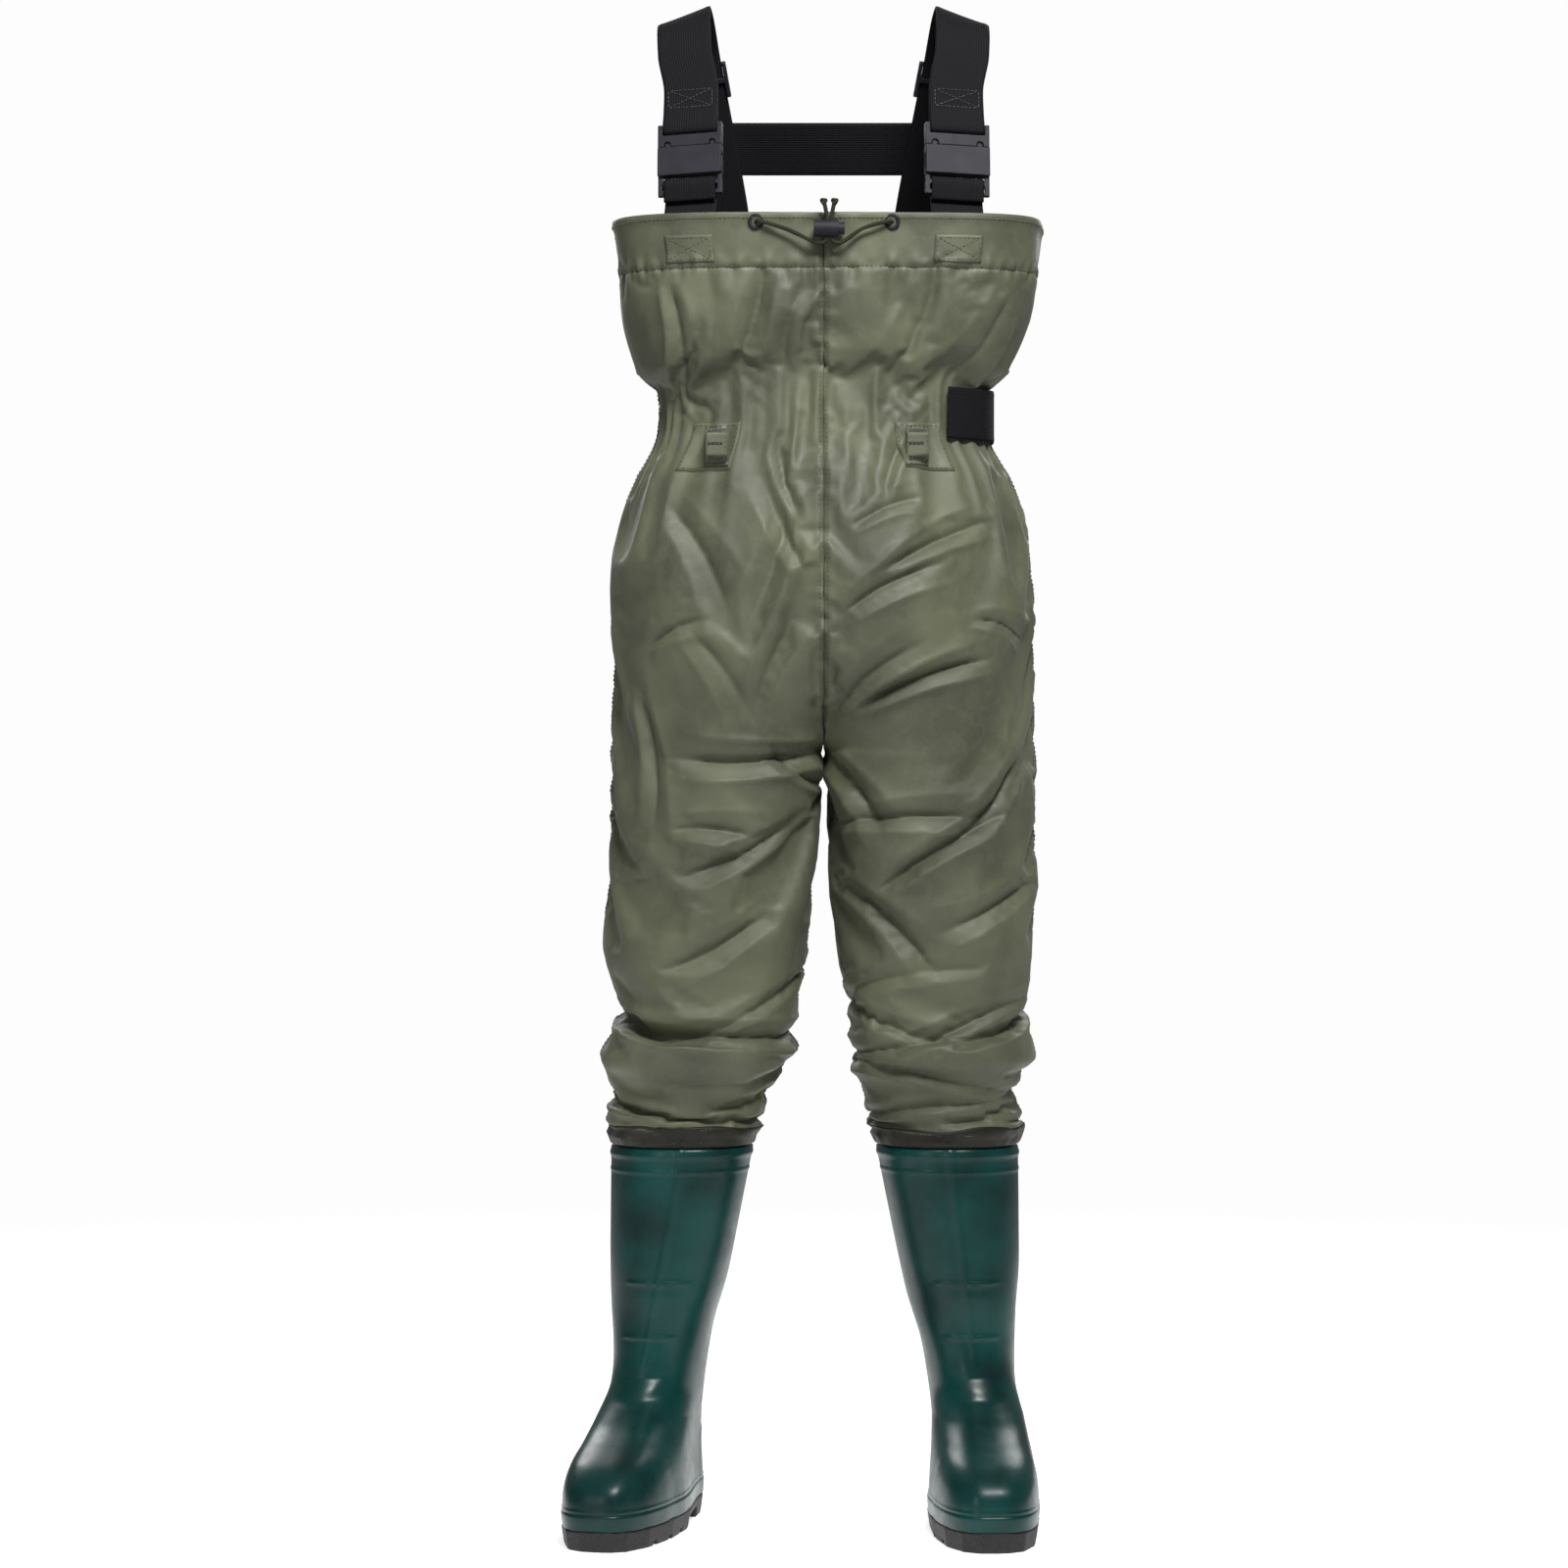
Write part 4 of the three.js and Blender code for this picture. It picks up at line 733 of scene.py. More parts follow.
TAPE_INSET, TAPE_THICKNESS = 1.3 * MM, 0.5 * MM
TAPE_ROWS = np.arange(CUFF_Z + 27 * MM, BIB_Z - 56 * MM, 5 * MM)
for name, side in SIDES:
    points, _ = cloth_grid(side, np.linspace(0.488, 0.512, 7), TAPE_ROWS, -TAPE_INSET)
    tape = two_sided(oriented(side, points), TAPE_THICKNESS, f"side_tape_{name}_film", TAPE)
    place(tape, "waders", "seam_tape", f"side_tape_{name}")
    rows = TAPE_ROWS[TAPE_ROWS < CROTCH_Z - 4 * MM]
    front, _ = cloth_grid(side, np.linspace(0, 0.012, 4), rows, -TAPE_INSET)
    back, _ = cloth_grid(side, np.linspace(0.988, 1, 4), rows, -TAPE_INSET)
    joined = np.concatenate([back[:, :-1], front], axis=1)
    tape = two_sided(oriented(side, joined), TAPE_THICKNESS, f"inseam_tape_{name}_film", TAPE)
    place(tape, "waders", "seam_tape", f"inseam_tape_{name}")


def ring_grid(us, zs, offset):
    """Both halves of the garment joined into one closed ring of columns, in order round the body."""
    right, _ = cloth_grid(-1, us, zs, offset * MM)
    left, _ = cloth_grid(1, us, zs, offset * MM)
    return np.concatenate([left[:, :-1], right[:, ::-1][:, :-1]], axis=1)


UPPER_ROWS = TAPE_ROWS[TAPE_ROWS > CROTCH_Z + 14 * MM]
for panel, columns in (("front", np.linspace(0, 0.014, 4)), ("back", np.linspace(1, 0.986, 4))):
    right, _ = cloth_grid(-1, columns, UPPER_ROWS, -TAPE_INSET)
    left, _ = cloth_grid(1, columns, UPPER_ROWS, -TAPE_INSET)
    joined = np.concatenate([right[:, ::-1][:, :-1], left], axis=1)
    if panel == "back":
        joined = joined[:, ::-1]
    tape = two_sided(joined, TAPE_THICKNESS, f"centre_{panel}_tape_film", TAPE)
    place(tape, "waders", "seam_tape", f"centre_{panel}_tape")
RING_COLUMNS = np.linspace(0, 1, 121)
facing_rows = np.linspace(BIB_Z - HEM_DEPTH * MM, BIB_Z - 1 * MM, 9)
facing_points = ring_grid(RING_COLUMNS, facing_rows, -8.5)
# The facing takes the darker copy of the cloth, painted shade inside the bib.
facing = two_sided(facing_points, 0.8 * MM, "hem_facing_cloth", NYLON_PAINTED_SHADE, closed=True)
place(facing, "waders", "coated_nylon", "hem_facing")
elastic_rows = np.linspace(WAIST_Z - 24 * MM, WAIST_Z, 7)
elastic_points = ring_grid(np.linspace(0, 1, 181), elastic_rows, -3.2)
grid_u, grid_v = np.meshgrid(np.arange(elastic_points.shape[1]) * 5.0, np.linspace(0, 24, 7))
elastic = two_sided(elastic_points, 1.4 * MM, "waist_elastic_band", ELASTIC,
                    np.stack([grid_v, grid_u], axis=-1), closed=True)
place(elastic, "waders", "elastic", "waist_elastic")
for name, side in SIDES:
    # The cuff is welded to the boot by a band inside it.
    columns = np.linspace(0, 1, 97)[:-1]
    points, _ = cloth_grid(side, columns, np.linspace(CUFF_Z + 3 * MM, CUFF_Z + 19 * MM, 4), -1.5 * MM)
    weld = two_sided(oriented(side, points), 1.2 * MM, f"cuff_weld_{name}_band", TAPE, closed=True)
    place(weld, "waders", "seam_tape", f"cuff_weld_{name}")

for name, side in SIDES:
    # Dark welded binding round the foot of each leg.
    columns = np.linspace(0, 1, 145)[:-1]
    rows = CUFF_Z + np.array([0.2, 1.5, 6, 11, 16, 19.5, 21]) * MM
    points, normals = cloth_grid(side, columns, rows, 1.0 * MM)
    wave = 1.2 * np.sin(14 * math.pi * columns)[None, :] * np.linspace(0, 1, len(rows))[:, None] * MM
    points[..., 2] += wave
    edge = np.array([-0.6, 0.1, 0.3, 0.3, 0.3, 0.0, -0.7])[:, None, None] * MM
    points = oriented(side, points + normals * edge)
    binding = two_sided(points, 0.8 * MM, f"cuff_binding_{name}", BINDING, closed=True)
    place(binding, "waders", "seam_tape")

# ---------------------------------------------------------------- webbing


def strap(path, hint, width, thickness, per_row=18):
    """A webbing along a path, with thicker selvedges: its points, faces and UV in millimetres.

    hint is the direction across the webbing at each point of the path.
    """
    path = np.asarray(path, dtype=float)
    hints = np.broadcast_to(np.asarray(hint, dtype=float), path.shape)
    steps = np.linalg.norm(np.diff(path, axis=0), axis=1)
    run = np.concatenate([[0], np.cumsum(steps)])
    tangent = unit(np.gradient(path, axis=0))
    across = unit(hints - (hints * tangent).sum(-1, keepdims=True) * tangent)
    normal = np.cross(across, tangent)
    xs = np.linspace(-0.5, 0.5, per_row) * width
    crown = np.where(np.abs(xs) > width / 2 - 3.2 * MM, 0.22 * MM, 0.0)
    crown[[0, -1]] = -0.35 * MM
    middle = path[:, None] + across[:, None] * xs[None, :, None]
    lift = normal[:, None] * (thickness / 2 + crown)[None, :, None]
    ring = np.concatenate([middle + lift, (middle - lift)[:, ::-1]], axis=1)
    uv_across = np.concatenate([xs, xs[::-1]]) / MM
    uvs = np.stack(np.broadcast_arrays(uv_across[None, :], run[:, None] / MM), axis=-1)
    return ring.reshape(-1, 3), capped_rings(*ring.shape[:2]), uvs.reshape(-1, 2)


def smooth_path(points, spacing=2.5):
    """A path through points with rounded bends, its points a few millimetres apart."""
    points = np.asarray(points, dtype=float)
    ends = np.concatenate([[2 * points[0] - points[1]], points, [2 * points[-1] - points[-2]]])
    out = []
    for k in range(1, len(ends) - 2):
        a, b, c, d = ends[k - 1:k + 3]
        count = max(int(np.linalg.norm(c - b) / (spacing * MM)), 2)
        knots = [0.0]
        for p, q in ((a, b), (b, c), (c, d)):
            knots.append(knots[-1] + max(np.linalg.norm(q - p), 1e-6) ** 0.5)
        t0, t1, t2, t3 = knots
        for t in np.linspace(t1, t2, count, endpoint=False):
            a1 = (t1 - t) / (t1 - t0) * a + (t - t0) / (t1 - t0) * b
            a2 = (t2 - t) / (t2 - t1) * b + (t - t1) / (t2 - t1) * c
            a3 = (t3 - t) / (t3 - t2) * c + (t - t2) / (t3 - t2) * d
            b1 = (t2 - t) / (t2 - t0) * a1 + (t - t0) / (t2 - t0) * a2
            b2 = (t3 - t) / (t3 - t1) * a2 + (t - t1) / (t3 - t1) * a3
            out.append((t2 - t) / (t2 - t1) * b1 + (t - t1) / (t2 - t1) * b2)
    out.append(points[-1])
    return np.array(out)


JOINTS = {joint["name"]: joint for joint in frame["record"]["behaviour"]["joints"]}
WEB_WIDTH = high("rear_anchor_right")[0] - low("rear_anchor_right")[0]
WEB = 2 * MM
BAR_SIZE, WEB_CLEARANCE = 4.4, 0.4
WRAP = (BAR_SIZE * math.sqrt(0.5) + WEB_CLEARANCE + 1) * MM
HINGE = np.array(JOINTS["suspenders_swing"]["pos_m"])
SHOULDER_RADIUS = 62 * MM
LADDER_BAR, SEAT, STRAP_BAR, BUCKLE_TOP = 12.5 * MM, 50.4 * MM, 69 * MM, 73.5 * MM
TOP_OF_ARC = 1504 * MM  # the middle of the webbing's thickness at the top of the shoulder strap


def buckle_axes(name, side):
    """The buckle's across, back and up directions and its foot, from the pivots of its two arms."""
    outer = JOINTS[f"buckle_arm_outer_{name}_squeeze"]
    inner = JOINTS[f"buckle_arm_inner_{name}_squeeze"]
    a, b = np.array(outer["pos_m"]), np.array(inner["pos_m"])
    across = unit(a - b) * side
    back = np.array(outer["axis"]) * side
    back = unit(back if back[1] > 0 else -back)
    up = unit(np.cross(across, back))
    foot = (a + b) / 2 - up * (SEAT + 2 * MM)
    return across, back, up, foot


def box_stitches(name, centre, across, up, normal, width, height, body="waders"):
    """A sewn rectangle with a cross inside it, in black thread on webbing."""
    a, u = across * width / 2, up * height / 2
    corners = [centre - a - u, centre + a - u, centre + a + u, centre - a + u]
    runs = [(corners[i], corners[j]) for i, j in ((0, 1), (1, 2), (2, 3), (3, 0), (0, 2), (1, 3))]
    lines = [(np.linspace(p, q, 12), np.tile(normal, (12, 1))) for p, q in runs]
    stitches_on(name, lines, THREAD_BLACK, "webbing", body, length=3.0, gap=1.1, radius=0.45)


for name, side in SIDES:
    across, back, up, foot = buckle_axes(name, side)

    def on_strap(depth, height):
        return foot + back * depth + up * height

    def turn_round(centre, start, end, count=12):
        return [on_strap(WRAP * math.cos(a), centre + WRAP * math.sin(a))
                for a in np.radians(np.linspace(start, end, count))]

    # Tab from inside the hem, round the buckle's ladder bar and back down in front.
    tab_low = low(f"front_tab_{name}")
    tab_path = [np.array([foot[0], tab_low[1] + 1 * MM, BIB_Z - 48 * MM]),
                np.array([foot[0], foot[1] - 0.23 * 20 * MM, BIB_Z - 2 * MM]),
                on_strap(WRAP, -6 * MM), on_strap(WRAP, 4 * MM), *turn_round(LADDER_BAR, 0, 180),
                on_strap(-WRAP, 9 * MM), on_strap(-WRAP * 0.2, -6 * MM)]
    points, faces, uvs = strap(smooth_path(tab_path), across, WEB_WIDTH - 2 * MM, WEB)
    tab = make_mesh(f"front_tab_{name}_webbing", points, faces, WEBBING, uvs)
    place(tab, "waders", "webbing", f"front_tab_{name}")

    # Shoulder strap: folded end, round the male bar, up, over the shoulder, down the back to the bib.
    lean = math.atan2(up[1], up[2])
    arc_z = TOP_OF_ARC - SHOULDER_RADIUS
    arc_y = foot[1] + (arc_z + SHOULDER_RADIUS * math.sin(lean) - foot[2]) * math.tan(lean) \
        + SHOULDER_RADIUS * math.cos(lean)
    reach, drop = HINGE[1] - arc_y, arc_z - HINGE[2]
    back_lean = math.acos(SHOULDER_RADIUS / math.hypot(reach, drop)) - math.atan2(drop, reach)
    angles = np.linspace(math.pi - lean, back_lean, 25)
    shares = np.linspace(0, 1, 25)
    over = [np.array([CENTRE_X + side * (142 - 5 * (1 - t) ** 2 - 12 * t * t) * MM,
                      arc_y + SHOULDER_RADIUS * math.cos(a), arc_z + SHOULDER_RADIUS * math.sin(a)])
            for a, t in zip(angles, shares)]
    hinge = np.array([(low(f"rear_anchor_{name}")[0] + high(f"rear_anchor_{name}")[0]) / 2, HINGE[1], HINGE[2]])
    rise = np.array([0, -math.sin(back_lean), math.cos(back_lean)])
    anchor_foot = np.array([hinge[0], hinge[1], low(f"rear_anchor_{name}")[2]])
    path = [on_strap(2 * MM, BUCKLE_TOP + 40 * MM), on_strap(WRAP - 0.6 * MM, BUCKLE_TOP + 8 * MM),
            *turn_round(STRAP_BAR, 0, -180), on_strap(-WRAP, STRAP_BAR + 4 * MM),
            on_strap(-1.2 * MM, BUCKLE_TOP + 14 * MM), on_strap(-1 * MM, BUCKLE_TOP + 42 * MM), *over,
            hinge + rise * 18 * MM, hinge + rise * 3 * MM, hinge - np.array([0, 0, 4]) * MM,
            (hinge + anchor_foot) / 2, anchor_foot]
    fine = smooth_path(path)
    # The webbing turns from the buckle's slant to square across the back as it goes over the shoulder.
    share = smoothstep(fine[:, 1], over[0][1], over[-1][1])[:, None]
    behind = (np.arange(len(fine)) > np.argmax(fine[:, 2]))[:, None]
    share = np.where(behind, np.maximum(share, smoothstep(fine[:, 1], over[12][1], over[-1][1])[:, None]), share)
    hints = across * (1 - share) + ACROSS * share
    tilt = np.sin(math.pi * share) * np.array([0, 0, -0.36 * side])
    points, faces, uvs = strap(fine, unit(hints + tilt), WEB_WIDTH, WEB)
    piece = make_mesh(f"shoulder_strap_{name}_webbing", points, faces, WEBBING, uvs)
    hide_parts(f"shoulder_strap_{name}", f"rear_anchor_{name}")
    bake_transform(piece)
    box_stitches(f"strap_fold_stitches_{name}", on_strap(-2.3 * MM, BUCKLE_TOP + 27 * MM), across, up, -back,
                 WEB_WIDTH - 10 * MM, 18 * MM, "suspenders")
    box_stitches(f"rear_anchor_stitches_{name}", anchor_foot + np.array([0, 1.3, 17]) * MM,
                 ACROSS, UPWARDS, np.array([0, 1.0, 0]), WEB_WIDTH - 8 * MM, 26 * MM)

    # The stitched box on the bib's front that holds the tab, and the one for the belt loop.
    for node_name, inset in ((f"anchor_patch_{name}", 3), (f"loop_patch_{name}", 2.5)):
        lo, hi = low(node_name), high(node_name)
        heights = np.linspace(lo[2], hi[2], 14)
        xs = np.sort(np.linspace(side * (lo[0] - CENTRE_X), side * (hi[0] - CENTRE_X), 15))
        probe = np.linspace(0.0, 0.5, 400)
        line = garment_surface(side, probe, np.full(400, (lo[2] + hi[2]) / 2))
        us_at = np.interp(xs, side * (line[:, 0] - CENTRE_X), probe)
        points, normals = cloth_grid(side, us_at, heights, 0.9 * MM)
        edge = np.ones(points.shape[:2])
        edge[[0, -1]] = edge[:, [0, -1]] = 0.0
        points = points + normals * (edge * 0.35 * MM)[..., None]
        patch = two_sided(oriented(side, points), 1.1 * MM, f"{node_name}_cloth", NYLON)
        place(patch, "waders", "coated_nylon", node_name)
        du = (us_at[-1] - us_at[0]) * inset / (xs[-1] - xs[0]) * MM
        u0, u1 = us_at[0] + du, us_at[-1] - du
        z0, z1 = lo[2] + inset * MM, hi[2] - inset * MM
        runs = [((u0, z0), (u1, z0)), ((u1, z0), (u1, z1)), ((u1, z1), (u0, z1)), ((u0, z1), (u0, z0))]
        if node_name.startswith("anchor"):
            runs += [((u0, z0), (u1, z1)), ((u0, z1), (u1, z0))]
        lines = [cloth_line(side, np.linspace(p[0], q[0], 12), np.linspace(p[1], q[1], 12), 1.4) for p, q in runs]
        stitches_on(f"{node_name}_stitches", lines)

# Cross strap between the rear straps.
lo, hi = low("cross_strap"), high("cross_strap")
rise = np.array([0, -math.sin(back_lean), math.cos(back_lean)])
middle = (lo + hi) / 2
spread = (hi[0] - lo[0]) / 2
cross_path = [middle + np.array([x, 0, 0]) for x in np.linspace(-spread, spread, 60)]
points, faces, uvs = strap(cross_path, rise, 55 * MM, WEB)
cross = make_mesh("cross_strap_webbing", points, faces, WEBBING, uvs)
place(cross, "suspenders", "webbing", "cross_strap")
out = np.array([0, math.cos(back_lean), math.sin(back_lean)])
for name, side in SIDES:
    centre = middle + np.array([side * (spread - 22 * MM), 0, 0]) + out * 1.3 * MM
    box_stitches(f"cross_strap_stitches_{name}", centre, ACROSS, rise, out, 34 * MM, 44 * MM, "suspenders")

# Belt: it starts by the left front loop and goes round the left side and the back.
BELT_HALF_WIDTH, BELT_HALF_DEPTH, BELT_POWER, BELT_THICKNESS = 171.5 * MM, 108 * MM, 2.5, 1.7 * MM
lo, hi = low("waist_belt"), high("waist_belt")
belt_z = (lo[2] + hi[2]) / 2
angles = np.radians(np.linspace(42, 214, 150))
c, s = squircle(angles, BELT_POWER)
belt_path = np.stack([CENTRE_X + s * (BELT_HALF_WIDTH - BELT_THICKNESS / 2),
                      CENTRE_Y - c * (BELT_HALF_DEPTH - BELT_THICKNESS / 2),
                      belt_z + 0.8 * MM * np.sin(angles * 5)], axis=-1)
points, faces, uvs = strap(belt_path, UPWARDS, hi[2] - lo[2], BELT_THICKNESS)
belt = make_mesh("waist_belt_webbing", points, faces, WEBBING, uvs)
place(belt, "waders", "webbing", "waist_belt")


def loop_strip(node_name, side, back):
    """A belt loop: a strip of cloth sewn down at both ends, standing off in the middle."""
    lo, hi = low(node_name), high(node_name)
    sign = 1 if back else -1
    x_mid, half = (lo[0] + hi[0]) / 2, (hi[0] - lo[0]) / 2
    outer = hi[1] if back else lo[1]
    zs = np.linspace(lo[2], hi[2], 31)
    mid_z, reach = (lo[2] + hi[2]) / 2, (hi[2] - lo[2]) / 2
    probe = np.linspace(0.5, 1.0, 300) if back else np.linspace(0.0, 0.5, 300)
    points, _ = cloth_grid(side, probe, zs)
    foot_band = (12 if back else 6) * MM
    bulge = smoothstep(reach - np.abs(zs - mid_z), foot_band * 0.5, foot_band + 4 * MM)
    xs = np.linspace(x_mid - half, x_mid + half, 13)
    grid = np.zeros((len(zs), len(xs), 3))
    for j in range(len(zs)):
        order = np.argsort(points[j, :, 0])
        ys = np.interp(xs, points[j, order, 0], points[j, order, 1])
        sewn = ys + sign * 2.6 * MM
        level = sign * max(sign * (outer - sign * 0.4 * MM), float(np.max(sign * ys)) + 3 * MM)
        y = sewn + (level - sewn) * bulge[j]
        grid[j] = np.stack([xs, y, np.full(len(xs), zs[j])], axis=-1)
    if back:
        grid = grid[:, ::-1]
    strip = two_sided(grid, 1.2 * MM, f"{node_name}_cloth", NYLON)
    place(strip, "waders", "coated_nylon", node_name)

    def sewn_row(row):
        outward = np.array([0, float(sign), 0])
        return row + outward * 0.3 * MM, np.tile(outward, (len(row), 1))

    lines = [sewn_row(grid[j, 1:-1]) for j in (1, 3, 27, 29)] + [sewn_row(grid[1:-1, i]) for i in (1, 11)]
    stitches_on(f"{node_name}_stitches", lines)
    if not back:
        # Dense bands of black thread cross the loop at its two ends and its middle. Those at the ends are bar tacks
        # that also serve as painted shade; the band across the middle is painted shade only. Together they darken
        # the front loops.
        thread_and_shade_rows = [sewn_row(grid[j, 1:-1]) for j in (4, 5, 6, 15, 16, 24, 25, 26)]
        stitches_on(f"{node_name}_black_thread_and_painted_shade", thread_and_shade_rows, THREAD_BLACK, length=3.4, gap=0.3, radius=0.55)


for name, side in SIDES:
    loop_strip(f"belt_loop_{name}", side, False)
    loop_strip(f"rear_belt_loop_{name}", side, True)

# ---------------------------------------------------------------- boots

BOOT_TOP = high("boot_right")[2] / MM
LIP = CUFF_Z / MM - 3  # the shaft is upright from here up
ANKLE_X, TOE_OUT = {-1: 168, 1: 152}, {-1: 15, 1: 3}
ANKLE_TURN = 110  # height at which the boot starts to turn and lean towards its cuff
WALL, SOCK_INSET, LINER_INSET = 3.5, 5.9, 9.0
# Height, reach to the toe and to the heel, half width, and how much the outline widens at the ball of the foot.
BOOT_SECTIONS = np.array([
    (20.3, 205, 76, 53, 1), (35, 208, 77, 54, 1), (58, 203, 74, 53, 1), (76, 182, 72, 51, 0.9),
    (92, 146, 71, 49, 0.7), (112, 104, 70, 46.5, 0.4), (140, 74, 68, 43.5, 0), (185, 64, 64, 47.5, 0),
    (244, 67, 67, 58, 0), (310, 70, 70, 65, 0), (374, 73, 73, 71, 0),
])


def boot_ring(side, z, front, back, half, ball, angles, inset=0.0):
    """Points of the boot's outline at a height, before relief, in millimetres from the ankle's axis."""
    c, s = squircle(angles, 2.2 + ball)
    y = np.where(s < 0, s * (front - inset), s * (back - inset))
    towards_toe = smoothstep(-y, -back * 0.5, front * 0.45)
    x = c * (half - inset) * (1 - 0.3 * ball * (1 - towards_toe))
    turn = math.radians(side * TOE_OUT[side]) * (1 - smoothstep(z, ANKLE_TURN, LIP))
    share = np.clip((z - ANKLE_TURN) / (LIP - ANKLE_TURN), 0, 1)
    centre = side * (ANKLE_X[side] + (CUFF_X[side] - ANKLE_X[side]) * share)
    return np.stack([centre + x * math.cos(turn) - y * math.sin(turn),
                     x * math.sin(turn) + y * math.cos(turn), z + 0 * x], axis=-1), x, y


def in_frame(points):
    """Millimetres from the garment's middle to the frame's metres."""
    return points * MM + np.array([CENTRE_X, CENTRE_Y, 0])


def boot_relief(z, y, angles):
    """Moulded ridges, bands and the soft creases at the ankle, in millimetres outwards."""
    from_front = angles - 1.5 * math.pi
    front_face = bump_at(from_front, 0, 0.42)
    ridge = 2.3 * bump_at(from_front, 0, 0.05) * smoothstep(z, 150, 185)
    shin = sum(1.9 * bump_at(z, at, 1.5) * smoothstep(front_face, 0.05, 0.35) for at in (242, 188))
    below_shin = -0.8 * bump_at(z, 236, 6) * front_face
    lip = 1.3 * bump_at(z, 368, 3.0) + 0.8 * bump_at(z, 352, 1.5)
    ankle = sum(a * bump_at(z + 9 * np.cos(from_front), at, w)
                for at, w, a in ((136, 4.5, -1.6), (147, 5.0, 1.1), (158, 4.0, -1.1), (120, 6, 1.0)))
    ankle *= smoothstep(front_face, 0.0, 0.5)
    toward_toe = smoothstep(-y, 118, 124)
    toe_cap = 1.5 * (toward_toe - smoothstep(-y, 150, 200) * 0.5) * smoothstep(z, 100, 70)
    heel = 1.6 * smoothstep(y, 30, 36) * smoothstep(z, 92, 86)
    rand = 1.7 * smoothstep(z, 36, 34) + 0.9 * bump_at(z, 38.5, 1.2)
    sag = 0.9 * np.sin(3 * angles + z * 0.05) * bump_at(z, 210, 40)
    return ridge + shin + below_shin + lip + ankle + toe_cap + heel + rand + sag


def boot_section(z):
    """The boot's four sizes at a height."""
    return [column_at(BOOT_SECTIONS, column, z) for column in (1, 2, 3, 4)]


BOOT_ANGLES = np.linspace(0, 2 * math.pi, 145)[:-1]
for name, side in SIDES:
    heights = np.concatenate([np.linspace(20.3, 60, 34), np.linspace(61.5, 160, 60), np.linspace(162, 374, 120)])
    rings = []
    for z in heights:
        ring, x, y = boot_ring(side, z, *boot_section(z), BOOT_ANGLES)
        outward = unit((ring - ring.mean(axis=0)) * np.array([1, 1, 0]))
        rings.append(ring + outward * boot_relief(z, y, BOOT_ANGLES)[:, None])
    # The rim inside the trouser leg, then the lining down to the footbed.
    rim = [(376.6, SOCK_INSET), (385, SOCK_INSET), (BOOT_TOP - 0.6, SOCK_INSET), (BOOT_TOP, 6.4),
           (BOOT_TOP, LINER_INSET), (BOOT_TOP - 0.8, LINER_INSET), (374.0, LINER_INSET)]
    lining = [(374.0, z, inset) for z, inset in rim]
    lining += [(z, z, WALL) for z in np.linspace(366, 26, 40)] + [(26.0, 23.8, WALL + 1)]
    rings += [boot_ring(side, z, *boot_section(at), BOOT_ANGLES, inset)[0] for at, z, inset in lining]
    stack = np.array(rings)
    faces = capped_rings(*stack.shape[:2])
    boot = make_mesh(f"boot_{name}_moulding", in_frame(stack.reshape(-1, 3)), faces, PVC)
    place(boot, "waders", "boot_pvc", f"boot_{name}")

    # Insole: a felt footbed, cupped a little at the heel.
    lo, hi = low(f"insole_{name}")[2] / MM, high(f"insole_{name}")[2] / MM
    layers = []
    for share, z in ((1, lo), (1, hi - 0.8), (0.97, hi), (0.8, hi - 0.5), (0.5, hi - 0.7), (0.02, hi - 0.7)):
        ring, _, _ = boot_ring(side, z, *boot_section(22.0), BOOT_ANGLES, 5.2)
        centre = ring.mean(axis=0)
        layers.append(centre + (ring - centre) * np.array([share, share, 1]))
    stack = np.array(layers)
    insole = make_mesh(f"insole_{name}_felt", in_frame(stack.reshape(-1, 3)), capped_rings(*stack.shape[:2]), FELT)
    place(insole, "waders", "insole_felt", f"insole_{name}")

# ---------------------------------------------------------------- outsoles, buckles, adjusters and cord lock


def moulded_copy(node_name, new_name, material, voxel, smoothing=4):
    """A copy of a moulding with its edges rounded, as they leave the mould."""
    source = frame["nodes"][node_name]
    made = bpy.data.objects.new(new_name, source.data.copy())
    bpy.context.scene.collection.objects.link(made)
    made.data.materials.clear()
    made.data.materials.append(material)
    remesh = made.modifiers.new("skin", "REMESH")
    remesh.mode = "VOXEL"
    remesh.voxel_size = voxel * MM
    smooth = made.modifiers.new("soften", "SMOOTH")
    smooth.factor = 0.5
    smooth.iterations = smoothing
    graph = bpy.context.evaluated_depsgraph_get()
    mesh = bpy.data.meshes.new_from_object(made.evaluated_get(graph))
    made.modifiers.clear()
    made.data = mesh
    mesh.polygons.foreach_set("use_smooth", [True] * len(mesh.polygons))
    return made


BODY_OF = {n: b for b, ns in frame["record"]["behaviour"]["bodies"].items() for n in ns}
for name, side in SIDES:
    sole = moulded_copy(f"outsole_{name}", f"outsole_{name}_moulding", RUBBER, 1.6, 2)
    place(sole, "waders", "sole_rubber", f"outsole_{name}")
    for part, voxel in (("buckle_female", 0.6), ("buckle_male", 0.6), ("buckle_arm_inner", 0.5),
                        ("buckle_arm_outer", 0.5), ("adjuster", 0.5)):
        source = f"{part}_{name}"
        piece = moulded_copy(source, f"{source}_moulding", ACETAL, voxel, 3)
        place(piece, BODY_OF[source], "buckle_plastic", source)
for source, voxel in (("cord_lock_barrel", 0.35), ("cord_lock_plunger", 0.35)):
    piece = moulded_copy(source, f"{source}_moulding", ACETAL, voxel, 3)
    place(piece, BODY_OF[source], "buckle_plastic", source)

# ---------------------------------------------------------------- eyelets, drawcord and spring


